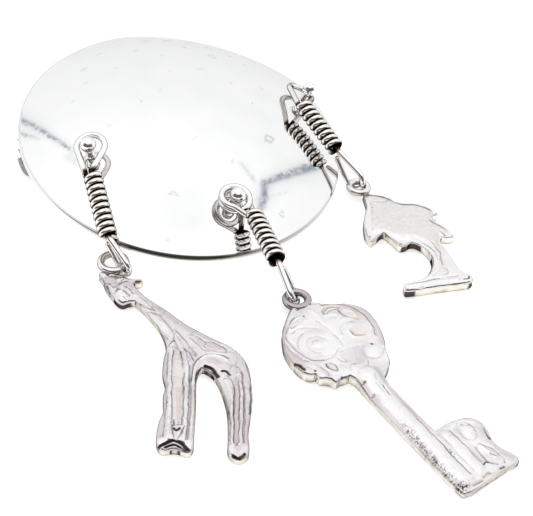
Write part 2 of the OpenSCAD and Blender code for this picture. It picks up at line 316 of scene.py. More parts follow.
# ---- the disc: domed sheet, posts, and the findings on its back ----

def dome_z(r):
    """Height of the sheet's middle surface above the rim's plane: a sphere's."""
    return np.sqrt(DOME_R ** 2 - r ** 2) - DOME_DROP


# Dings of the outer face: place in the worn disc's axes, half length, half width, turn and depth
DINGS = (
    (2.2, 16.4, 0.4, 0.2, 20, 0.02), (8.3, 17.4, 0.55, 0.15, -30, 0.02),
    (9.2, 14.5, 0.35, 0.2, 60, 0.02), (4.3, 13, 0.3, 0.15, 10, 0.015), (7.4, 7.7, 0.5, 0.16, -40, 0.02),
    (15.5, 7.5, 0.4, 0.15, 80, 0.02), (-6.7, 16, 0.35, 0.25, 15, 0.02),
    (-8.4, 12.6, 0.4, 0.16, -10, 0.015), (-0.8, 5.4, 0.35, 0.15, 30, 0.015),
    (-4.5, 4.6, 0.4, 0.15, 70, 0.015), (9.7, 3.3, 0.25, 0.2, 0, 0.015), (8.4, -8.3, 0.75, 0.5, 20, 0.03),
    (1, -9.9, 0.3, 0.16, 45, 0.015), (-8.9, -11.2, 0.2, 0.6, 50, 0.025),
    (-12.6, -16.1, 0.5, 0.25, -20, 0.025), (-10.5, 2.7, 0.3, 0.16, 0, 0.01),
    (3.4, -19.2, 0.4, 0.25, 60, 0.02), (11.2, 15.6, 0.2, 0.15, 10, 0.015),
    (13.1, 13.4, 0.5, 0.14, -50, 0.015), (5.4, 18.6, 0.5, 0.14, -15, 0.015),
    (1.2, 19.3, 0.3, 0.15, 5, 0.015), (-2.6, 18.4, 0.45, 0.14, 12, 0.015),
    (14.6, 10.2, 0.18, 0.15, 0, 0.02), (11.7, 10.6, 0.6, 0.5, 30, 0.012),
    (12.4, 5.2, 0.18, 0.14, 40, 0.015), (6.1, 11.3, 0.16, 0.13, 0, 0.015),
    (10.1, -1.6, 0.2, 0.16, 70, 0.015), (13.8, 1.2, 0.5, 0.14, -65, 0.012),
    (-3.2, 13.4, 0.16, 0.13, 0, 0.015), (-11.8, 10.2, 0.3, 0.14, 40, 0.012),
    (2.9, 8.9, 0.15, 0.12, 0, 0.012), (-1.7, -4.8, 0.3, 0.13, 25, 0.01),
)


def dings(x, y):
    """Depth and painted shade of the dings: each a flat bell of its own length, width and turn, with a
    ring of painted shade about it."""
    depth, mark = 0 * x, 0 * x
    x, y = (x + 0.13 * np.sin(4.1 * y + 1.7 * x) + 0.06 * np.sin(11 * x),
            y + 0.13 * np.sin(3.7 * x - 2.3 * y) + 0.06 * np.sin(9 * y + x))
    for px, py, long, wide, turn, deep in DINGS:
        c, t = math.cos(math.radians(turn)), math.sin(math.radians(turn))
        u, v = ((x - px) * c + (y - py) * t) / long, ((y - py) * c - (x - px) * t) / wide
        low = np.exp(-(u ** 2 + v ** 2))
        depth += deep * low
        ring = np.clip(4 * low * (1 - low), 0, 1) ** 3
        mark = np.maximum(mark, min(1, 0.4 + 30 * (deep - 0.01)) * ring)
    return depth, mark


def dome():
    """A lathe profile: outer sphere, rounded rim, inner sphere. The outer face has dings, and the
    rim's edge carries painted shade on its low side."""
    outer, inner, flat_r = DOME_R + SHEET_T / 2, DOME_R - SHEET_T / 2, DISC_R - LIP_R
    r_out = np.linspace(0, flat_r, OUTER_ROWS)
    top = np.stack([r_out, np.sqrt(outer ** 2 - r_out ** 2) - DOME_DROP], -1)
    lip_top = top[-1, 1] - LIP_SUNK
    lip_low = math.sqrt(inner ** 2 - flat_r ** 2) - DOME_DROP + LIP_SUNK
    upper = arc((flat_r, lip_top - LIP_R), LIP_R, 75, 0, 6)
    lower = arc((flat_r, lip_low + LIP_R), LIP_R, 0, -75, 6)
    r_in = np.linspace(flat_r - 0.1, 0, INNER_ROWS)
    under = np.stack([r_in, np.sqrt(inner ** 2 - r_in ** 2) - DOME_DROP], -1)
    p, f = lathe(np.concatenate([top, upper, lower, under]), DISC_STEPS)
    depth, mark = dings(p[..., 0], p[..., 1])
    row = np.arange(len(p))[:, None]
    outer_face = row < len(top) - 1
    rim = (row >= len(top) - 1) & (row < len(top) + len(upper))
    p[..., 2] -= depth * outer_face
    p = on_disc(p)
    # Painted shade along the rim's low side, strongest in the listed directions
    round_it = np.degrees(np.arctan2(p[..., 1] - DISC_AT[1], p[..., 0] - DISC_AT[0]))
    low = sum(much * bell(round_it, at, wide) for at, wide, much in RIM_SHADE)
    return piece("domed_disc", [(p, f)], "polished_silver", replaced=["disc"],
                 mark=np.maximum(DING_SHADE * mark * outer_face, rim * (EVEN_RIM_SHADE + low)))


def post_frame(row):
    """Foot and direction of a post, square to the dome, in the worn disc's axes."""
    lean = math.asin(row[0] / DOME_R)
    foot = about_z(vec(row[0], 0, dome_z(row[0])), row[1])
    return foot, about_z(vec(math.sin(lean), 0, math.cos(lean)), row[1])


def posts():
    """Three turned posts: a fillet of solder at the foot, the stalk and its ball."""
    parts = []
    for row in POSTS:
        foot, axis = post_frame(row)
        h = row[2] + SHEET_T / 2
        z = np.linspace(POST_FROM, h - BALL_R * 0.9, 14)
        fillet = FILLET_R * np.exp(-(z - SHEET_T / 2) / FILLET_FALL).clip(0, 1.2)
        stalk = np.stack([POST_R + fillet, z], -1)
        ball = arc((0, h), BALL_R, -62, 90, 34)
        p, f = lathe(np.concatenate([[[0, POST_FROM]], stalk, ball]), POST_STEPS)
        parts.append((on_disc(upright(p, foot, axis)), f))
    return piece("posts", parts, "polished_silver", replaced=["disc"])


def cap(p):
    """One flat face through a ring of points."""
    return on_disc(p), np.arange(len(p))[None]


def finding(name, span, drum_r, block_w, slot_open):
    """A drum along x held off the sheet by a block. The drum is a ring section from one lip of its
    slot to the other, carried along x with rounded ends; the block runs from the drum up into the
    sheet."""
    bore = STEM_R + STEM_GAP
    gap = math.degrees(math.asin(bore / ((drum_r + bore) / 2))) if slot_open else 0.0
    a = np.radians(np.linspace(gap, 360 - gap, DRUM_STEPS))
    left, right = arc((0, 0), DRUM_EDGE, 180, 90, 5), arc((0, 0), DRUM_EDGE, 90, 0, 5)
    x = np.concatenate([span[0] + DRUM_EDGE + left[:, 0], span[1] - DRUM_EDGE + right[:, 0]])
    inset = DRUM_EDGE - np.concatenate([left, right])[:, 1]
    x = np.concatenate([x, x[::-1]])[:, None]
    out = np.concatenate([drum_r - inset, bore + inset[::-1]])[:, None]
    p = np.stack([x + 0 * a, STEM_UP + out * np.cos(a), -STEM_DEEP + out * np.sin(a)], -1)
    parts = [(on_disc(p), quads(len(p), len(a), closed_rows=True, closed_cols=not slot_open))]
    if slot_open:
        parts += [cap(p[:, 0]), cap(p[:, -1])]
    corner = np.repeat(np.array([(1, 1), (-1, 1), (-1, -1), (1, -1)], float), 4, 0)
    a = np.radians(np.add.outer((0, 90, 180, 270), (0, 30, 60, 90)).ravel())
    half = [(span[1] - span[0]) / 2 - BLOCK_EDGE, block_w / 2 - BLOCK_EDGE]
    ring = corner * half + BLOCK_EDGE * np.stack([np.cos(a), np.sin(a)], -1)
    mid_x = (span[0] + span[1]) / 2
    up = dome_z(np.linalg.norm(ring + [mid_x, STEM_UP], axis=1))
    under = up - SHEET_T / 2
    low = drum_r * math.sqrt(1 - (block_w / 2 / drum_r) ** 2) - 0.15
    z = np.stack([0 * up - STEM_DEEP + low, under - 0.5, under - 0.15, under + 0.1])
    flare = np.array([1.0, 1.0, 1.05, 1.25])[:, None]
    block = np.stack([mid_x + ring[:, 0] * flare, STEM_UP + ring[:, 1] * flare, z], -1)
    parts += [(on_disc(block), quads(len(z), len(ring), closed_cols=True)), cap(block[0]), cap(block[-1])]
    # The whole finding carries painted shade, as it lies in the shade under the disc
    return piece(name, parts, "polished_silver", replaced=["disc"],
                 mark=np.full(sum(p[..., 0].size for p, _ in parts), FINDING_SHADE))


def pin():
    """A round stem that ends in a point, turned about its own line."""
    taper = np.linspace(0.05, 0.985, 20)
    profile = np.concatenate([
        [[0, 0]], arc((STEM_R - 0.1, 0.1), 0.1, -90, 0, 4),
        np.stack([np.full(20, STEM_R), np.linspace(0.4, STEM_L, 20)], -1),
        np.stack([STEM_R * np.sqrt(1 - taper ** 1.6), STEM_L + POINT_L * taper], -1),
        [[0, STEM_L + POINT_L * 0.998]]])
    p, f = lathe(profile, PIN_STEPS)
    p = np.stack([STEM_FROM - p[..., 2], STEM_UP + p[..., 0], -STEM_DEEP + p[..., 1]], -1)
    return piece("pin", [(on_disc(p), f)], "pin_silver", replaced=["pin_stem"])


# ---- the links: one wire each, hook, core, eye and wrap ----

# The side of the wires that is left bright; surfaces turned away from it get painted shade
LIT_SIDE = unit(np.array([0, -0.5, 0.87]))


def bend(neck, middle, side, r, start, end, n):
    """middle + r (cos a u + sin a v), where u points at the neck and v is the side square to it."""
    u = unit(neck - middle)
    v = square_to(side, u)
    a = np.radians(np.linspace(start, end, n))[:, None]
    return middle + r * (np.cos(a) * u + np.sin(a) * v), np.cross(u, v)


def neck_turn(r, neck, middle):
    """Degrees between the way to the neck and the point where a wire from there touches the circle."""
    return math.degrees(math.acos(r / np.linalg.norm(neck - middle)))


def flank(p):
    """Painted shade by how far a round wire's surface is turned away from its bright side: p is rows
    of points round the wire."""
    out = p - p.mean(1, keepdims=True)
    turned = (out / (np.linalg.norm(out, axis=-1, keepdims=True) + 1e-9)) @ LIT_SIDE
    return (1 - ramp(0.1, 0.55, turned)) * (1 - 0.65 * ramp(-0.3, -0.8, turned))


def link(name):
    """The hook's bend, the core, the eye's bend round the post, then a helix of the wrap's radius
    down the core; the corners between them are eased by averaging neighbours along the wire."""
    top, end, hook_mid, hook_r, hook_side, turns, shift, eye_turns, neck, hand = [
        np.array(x, float) if isinstance(x, tuple) else x for x in LINKS[name]]
    foot, axis = post_frame(POSTS[list(LINKS).index(name)])
    normal = lying(axis)
    eye = lying(foot + shift) + EYE_H * normal + [0, 0, DISC_AT[2]]
    down = unit(end - top)
    length = np.linalg.norm(end - top)
    apex = top - neck * down

    hook_neck, eye_neck = neck_turn(hook_r, end, hook_mid), neck_turn(EYE_R, apex, eye)
    eye_side = np.cross(normal, unit(apex - eye))
    hook, hook_n = bend(end, hook_mid, hook_side, hook_r, -hook_neck, -360 + hook_neck, 90)
    eye_end = 360 * eye_turns - eye_neck
    loop, loop_n = bend(apex, eye, eye_side, EYE_R, eye_neck, eye_end, 120 * eye_turns)
    at = np.linspace(eye_neck, eye_end, len(loop))[:, None]
    loop = loop + (eye_turns - 1) * (2 * WIRE_R + EYE_GAP) * (at / 360 - eye_turns / 2) * loop_n

    wrap_r = 2 * WIRE_R + WRAP_GAP
    wrap_x = square_to(-eye_side, down)
    wrap_y = hand * np.cross(down, wrap_x)
    a = np.linspace(0, 2 * np.pi * turns, 72 * turns)[:, None]
    wrap = top + down * length * a / a[-1] + wrap_r * (np.cos(a) * wrap_x + np.sin(a) * wrap_y)
    tuck = end + wrap_r * square_to(-hook_side, down) + TUCK * down
    beside = [apex + wrap_r * wrap_x] if neck else np.zeros((0, 3))
    path = np.concatenate([[tuck], hook, [end + 0.3 * down, apex], loop, beside, wrap])
    loop_n = loop_n * np.sign((loop_n * hook_n).sum() or 1)
    down_n = down * np.sign((down * loop_n).sum() or 1)
    refs = np.concatenate([
        [hook_n] * (len(hook) + 2), [loop_n] * (len(loop) + 1), [down_n] * (len(wrap) + len(beside))])

    s = run_of(path)
    even = np.arange(0, s[-1], PATH_STEP)
    path, refs = sampled(even, s, path), sampled(even, s, refs)
    weights = np.exp(-0.5 * (np.arange(-EASE_STEPS, EASE_STEPS + 1) * PATH_STEP / EASE) ** 2)
    weights /= weights.sum()
    padded = [np.pad(path[:, k], EASE_STEPS, "edge") for k in range(3)]
    path = np.stack([np.convolve(row, weights, "valid") for row in padded], -1)
    p, f = wire(path, refs, WIRE_R)

    along = (p - top) @ down
    far = np.linalg.norm(p - (top + along[..., None] * down), axis=-1)
    coil = ramp(-1.2, -0.2, along) * ramp(-0.9, 0.1, length - along)
    # Painted shade: dark in the gaps between the coil's turns, grey on the flanks
    return piece(name + "_wire", [(p + DISC_AT * [1, 1, 0], f)], "wire_silver", replaced=[name],
                 deep=(1 - ramp(*GAP_SHADE, far)) * coil, flank=flank(p) * (1 - 0.6 * coil))


# ---- the charms: cast bodies with their relief, and their rings ----

def hermite(a, b, slope_a, slope_b, steps):
    """Points on the cubics that leave each a and reach each b with the given slopes."""
    u = (np.arange(steps) / steps)[None, :, None]
    a, b, slope_a, slope_b = [v[:, None] for v in (a, b, slope_a, slope_b)]
    q = ((2 * u ** 3 - 3 * u ** 2 + 1) * a + (u ** 3 - 2 * u ** 2 + u) * slope_a
         + (3 * u ** 2 - 2 * u ** 3) * b + (u ** 3 - u ** 2) * slope_b)
    return q.reshape(-1, 2)


def eased(rows, steps=8):
    """A closed curve through rows of x and y. Its slope is half the step between the neighbours, or
    none at a corner, which is a row with a 0 behind x and y."""
    p = np.array([row[:2] for row in rows], float)
    smooth = np.array([[len(row) == 2] for row in rows])
    slope = smooth * (np.roll(p, -1, 0) - np.roll(p, 1, 0)) / 2
    return hermite(p, np.roll(p, -1, 0), slope, np.roll(slope, -1, 0), steps)


def run_through(points, steps=10):
    """An open curve through points, with the neighbours' slope."""
    p = np.asarray(points, float).reshape(-1, 2)
    slope = np.gradient(p, axis=0)
    return np.concatenate([hermite(p[:-1], p[1:], slope[:-1], slope[1:], steps), p[-1:]])


def distance(x, y, path, closed=False):
    """Distance of each grid point from a run of straight pieces, negative outside a closed run."""
    a = path if closed else path[:-1]
    b = np.roll(path, -1, 0) if closed else path[1:]
    points = np.stack([x.ravel(), y.ravel()], -1)
    ab = b - a
    square = (ab ** 2).sum(-1) + 1e-12

    def block(p):
        ap = p[:, None] - a
        t = np.clip((ap * ab).sum(-1) / square, 0, 1)
        d = np.sqrt(((ap - t[..., None] * ab) ** 2).sum(-1).min(1))
        if not closed:
            return d
        over = (a[:, 1] > p[:, 1:]) != (b[:, 1] > p[:, 1:])
        rise = np.where(ab[:, 1] == 0, 1e-12, ab[:, 1])
        cross = a[:, 0] + (p[:, 1:] - a[:, 1]) / rise * ab[:, 0]
        odd = (over & (p[:, :1] < cross)).sum(1) % 2 == 1
        return np.where(odd, d, -d)

    blocks = np.array_split(points, max(1, len(points) * len(a) // 400000))
    return np.concatenate([block(p) for p in blocks]).reshape(x.shape)


def about(x, y, line, margin, value):
    """value(x, y) where the grid lies in the line's box, widened by the margin, and 0 elsewhere."""
    lo, hi = line.min(0) - margin, line.max(0) + margin
    box = (x > lo[0]) & (x < hi[0]) & (y > lo[1]) & (y < hi[1])
    out = np.zeros(x.shape)
    if box.any():
        out[box] = value(x[box], y[box])
    return out


def near(x, y, points, width, curve=True):
    """1 - (d / width)^2 where d, the distance from the line through the points, is under the width,
    and 0 beyond."""
    line = run_through(points) if curve else np.asarray(points, float)
    return about(x, y, line, width, lambda x, y: np.clip(1 - (distance(x, y, line) / width) ** 2, 0, 1))


def inside(x, y, points, soft):
    """1 well inside a closed smooth curve through the points, 0 outside, eased over the soft width."""
    loop = eased(np.reshape(points, (-1, 2)))
    return about(x, y, loop, soft, lambda x, y: ramp(-soft / 2, soft / 2, distance(x, y, loop, closed=True)))


def oval(x0, y0, rx, ry, turn=0.0, start=0.0, end=360.0):
    """Points of an ellipse's arc, turned."""
    a = np.radians(np.linspace(start, end, 24, endpoint=end - start < 360))
    t = math.radians(turn)
    px, py = rx * np.cos(a), ry * np.sin(a)
    return np.stack([x0 + px * math.cos(t) - py * math.sin(t), y0 + px * math.sin(t) + py * math.cos(t)], -1)


def spiral(x0, y0, r0, r1, start, sweep, n):
    """Points whose radius goes evenly from r0 to r1 while the angle sweeps."""
    t = np.linspace(0, 1, n)
    a, r = np.radians(start + sweep * t), r0 + (r1 - r0) * t
    return np.stack([x0 + r * np.cos(a), y0 + r * np.sin(a)], -1)


def blurred(values, size):
    """A grid smoothed along both axes by a bell of that size in grid steps."""
    out = values
    for axis in (0, 1):
        i = np.arange(values.shape[axis])
        weights = np.exp(-0.5 * ((i[:, None] - i) / size) ** 2)
        weights /= weights.sum(1, keepdims=True)
        out = weights @ out if axis == 0 else out @ weights.T
    return out


def mottled(shape, size, seed):
    """Seeded noise between about -1 and 1, with lumps of that size in grid steps."""
    noise = blurred(np.random.default_rng(seed).normal(size=shape), size)
    return noise / (2 * noise.std())


def quarter(r, d):
    """How far a face has dropped at the distance d from an edge rounded to the radius r."""
    return r - np.sqrt(np.clip(r ** 2 - np.clip(r - d, 0, None) ** 2, 0, None))


def at_charm(p, name):
    """Points about a charm's ring, turned and moved to where the charm lies."""
    place, turn = CHARMS[name][:2]
    return about_z(p, turn) + [DISC_AT[0] + place[0], DISC_AT[1] + place[1], 0]


def casting_grid(name, table, pitch):
    """A grid over a casting: x, y, the depth inside its outline and outside its ring's hole, the cells
    that lie inside, the points that they use, and the slope of the depth. Edge points are moved onto
    the outline."""
    ring_r, shift = CHARMS[name][2:]
    loop = eased(table)
    lo, hi = loop.min(0) - 2 * pitch, loop.max(0) + 2 * pitch
    x, y = np.meshgrid(np.arange(lo[0], hi[0], pitch), np.arange(lo[1], hi[1], pitch), indexing="ij")
    hole = np.hypot(x - shift[0], y - shift[1]) - ring_r
    d = np.minimum(distance(x, y, loop, closed=True), hole)
    solid = d > 0
    cell = solid[:-1, :-1] & solid[1:, :-1] & solid[1:, 1:] & solid[:-1, 1:]
    uses = np.zeros(x.shape, int)
    for i, j in ((0, 0), (1, 0), (1, 1), (0, 1)):
        uses[i:i + cell.shape[0], j:j + cell.shape[1]] += cell
    rim = (uses > 0) & (uses < 4)
    gx, gy = np.gradient(d, pitch)
    g = np.hypot(gx, gy) + 1e-9
    x = np.where(rim, x - d * gx / g, x)
    y = np.where(rim, y - d * gy / g, y)
    d = np.where(rim, 0, np.clip(d, 0, None))
    return x, y, d, cell, uses > 0, np.stack([gx, gy, 0 * gx], -1) / g[..., None]


def cast(name, table, thick, edge_r, relief, pitch):
    """A flat casting as two faces over one grid of x and y and a wall between them. Each face falls
    to its edge as a quarter circle of the distance from the outline, and the upper one adds the
    relief."""
    x, y, d, cell, used, inwards = casting_grid(name, table, pitch)
    rise, tints, undercut = relief(x, y, d, pitch)
    top = thick(x, y) - quarter(edge_r, d) + rise * ramp(0, 0.3, d)
    top = np.clip(top, LOW_EDGE_R + 0.1, None)
    low = quarter(LOW_EDGE_R, d)

    n = used.sum()
    number = np.full(x.shape, -1)
    number[used] = np.arange(n)
    corner = np.stack([number[:-1, :-1], number[1:, :-1], number[1:, 1:], number[:-1, 1:]], -1)[cell]
    sides = np.concatenate([corner[:, [k, (k + 1) % 4]] for k in range(4)])
    _, first, count = np.unique(np.sort(sides, 1), axis=0, return_index=True, return_counts=True)
    rims = sides[first[count == 1]]
    wall, at_wall = np.unique(rims, return_inverse=True)
    at_wall = at_wall.reshape(rims.shape) + 2 * n

    xy = np.stack([x[used], y[used]], -1)
    up = np.concatenate([xy, top[used][:, None]], 1)
    down = np.concatenate([xy, low[used][:, None]], 1)
    level = (np.arange(1, WALL_STEPS + 1) / (WALL_STEPS + 1))[:, None, None]
    lumps = [mottled(x.shape, 0.25 / pitch, 90 + k)[used][wall] for k in range(WALL_STEPS)]
    bulge = 0.05 * np.stack(lumps)[:, :, None] - 0.03
    walls = up[wall] * (1 - level) + down[wall] * level - inwards[used][wall] * bulge
    rows = [rims] + [at_wall + k * len(wall) for k in range(WALL_STEPS)] + [rims + n]
    faces = [corner, corner[:, ::-1] + n]
    faces += [np.stack([a[:, 1], a[:, 0], b[:, 0], b[:, 1]], -1) for a, b in zip(rows[:-1], rows[1:])]
    points = at_charm(np.concatenate([up, down, walls.reshape(-1, 3)]), name)

    side = np.concatenate([np.zeros(n), np.ones(n), np.repeat(level.ravel() ** 0.5, len(wall))])
    # The walls take the undercut's painted shade, darkest towards the floor
    dark = undercut[used]
    depth = level.ravel()[:, None] ** (1.5 - 1.5 * ramp(0.65, 0.95, dark[wall]))
    shades = {}
    for key, value in tints.items():
        below = 0.5 * value[used]
        shades[key] = np.concatenate([value[used], below, np.tile(below[wall], WALL_STEPS)])
    shades["dark"] = np.concatenate([shades["dark"][:n], dark, (dark[wall] * depth).ravel()])
    return piece(name + "_body", [(points, np.concatenate(faces))], "cast_silver",
                 replaced=[name], tidy=False, low=side, **shades)


def charm_ring(name):
    """A round ring lying flat: a small circle carried round a large one."""
    ring_r, shift = CHARMS[name][2:]
    a = np.radians(np.linspace(0, 360, RING_SIDES, endpoint=False))
    section = np.stack([ring_r + RING_WIRE_R * np.cos(a), RING_WIRE_R * np.sin(a)], -1)
    p = at_charm(lathe(section, RING_STEPS)[0] + [*shift, RING_Z], name)
    # The ring's lower side gets painted shade
    side = np.repeat((1 - ramp(0.1, 0.75, np.sin(a)))[:, None], RING_STEPS, 1)
    even, dark, lilac = RING_TONE[name]
    return piece(name + "_ring", [(p, quads(RING_SIDES, RING_STEPS, True, True))], "cast_silver",
                 replaced=[name], dark=np.maximum(even, dark * side), lilac=lilac + 0 * side,
                 low=0.5 * side)


# Outlines from the ring's middle: x and y, with a 0 behind them at a corner
GIRAFFE = (
    (-1, -1.2, 0), (-1.7, -1.4), (-1.75, -2.1), (-1.2, -2.9), (-1, -3.6), (-0.5, -4.6), (0.2, -5.7),
    (0.75, -6.5), (1.5, -6.9), (2.3, -6.5), (2.9, -6.4, 0), (3.5, -7), (4.3, -8), (5.9, -10.3),
    (6.8, -12.4), (7.1, -14.2), (6.9, -15.8), (6.85, -18.2), (7.25, -20.2), (7.05, -21.8), (7.15, -24),
    (6.75, -25.6), (6.55, -27.7), (6.7, -29), (7.3, -29.7), (8.8, -29.5), (10.1, -29.9), (10.75, -29.2),
    (10.8, -27.2), (10.9, -23.6), (10.85, -20), (10.95, -18.2), (11.5, -17.2), (12.6, -17.9),
    (13.4, -19.3), (14.1, -21.6), (14.5, -24), (14.6, -27), (14.55, -29.3), (15, -30.2), (15.9, -30.6),
    (16.8, -30), (17, -29), (16.9, -26.9), (17.2, -24.1), (17.4, -21.6), (17.25, -18.7), (16.95, -16.6),
    (16.2, -14.9), (14.7, -13.3), (12.6, -12.1), (9.5, -10), (7.1, -7.8), (5, -6.1), (3.6, -4.7),
    (2.9, -3.7), (2.85, -3.1, 0), (3.5, -2.95), (3.75, -2.6), (3.4, -2.3), (2.6, -2.35), (2, -2.4, 0),
    (1.4, -1.9), (0.8, -1.5, 0),
)
KEY = (
    (-1.1, -0.8, 0), (-1.8, -1.1), (-3.1, -2.2), (-4.7, -3.7), (-5.7, -5.3), (-6.35, -6.8), (-6.6, -8.6),
    (-6.4, -10.5), (-5.8, -11.4), (-5.2, -11.6, 0), (-5.2, -12.4, 0), (-4.5, -12.8), (-4.1, -13.2, 0),
    (-3.9, -13.9, 0), (-3.1, -13.7), (-2.4, -13.8), (-1.8, -13.8, 0), (-1.5, -14.6, 0), (-1.5, -18),
    (-1.35, -23.9), (-1.15, -30.2), (-0.9, -33.6), (-0.3, -34), (0.8, -34.1), (3, -33.9), (5.4, -33.7),
    (7.4, -33.6), (8, -33.1), (7.9, -32.2), (7.3, -30.9), (7.1, -29.8), (7.5, -28.6), (7.85, -27.4),
    (7.6, -26.3), (6.9, -25.5), (5.6, -25), (4, -24.9), (2.2, -25.1, 0), (2, -20.3), (1.95, -15.8, 0),
    (2.8, -15.2), (3.9, -14.2), (4.6, -12.4, 0), (5.4, -11.2), (6.1, -9.6), (6.6, -7.6), (6.5, -5.4),
    (5.1, -3.6), (3.6, -2.8), (2.1, -1.9), (1.1, -0.8, 0),
)
TREE = (
    (0.3, -1.1, 0), (0.2, -2.5), (0, -4), (-0.9, -6), (-1.5, -7.8), (-1.8, -9.8), (-1.4, -11.2, 0),
    (-0.3, -10.4), (0.4, -9.8), (0.9, -9.8), (1.5, -11), (2.1, -12.4), (3, -12.5), (3.7, -12.1, 0),
    (4.3, -12.1), (5, -12.8), (5.5, -14), (5.65, -15.3), (5.4, -16.4), (4.9, -17.4), (4, -18.5),
    (2.7, -19.2), (1, -19.5), (0.3, -20), (0.3, -20.9, 0), (1.5, -21), (5, -20.8), (8.6, -20.7),
    (9.6, -20.4), (9.8, -19.7), (9.1, -18.8), (8.6, -17.9), (8.4, -16.3), (8.1, -14.2), (7.9, -12.6),
    (8.4, -11.6), (9.3, -11.8), (10.1, -11.7, 0), (9.9, -10.6), (9.2, -9.2), (8.4, -8.2), (8.5, -7.2),
    (9.4, -7, 0), (9.1, -6), (8.4, -5.1), (7, -4.2), (5.3, -3.8), (4.2, -3.4), (3.8, -2.3), (2.8, -1.7),
    (1.6, -1.5), (0.9, -1, 0),
)
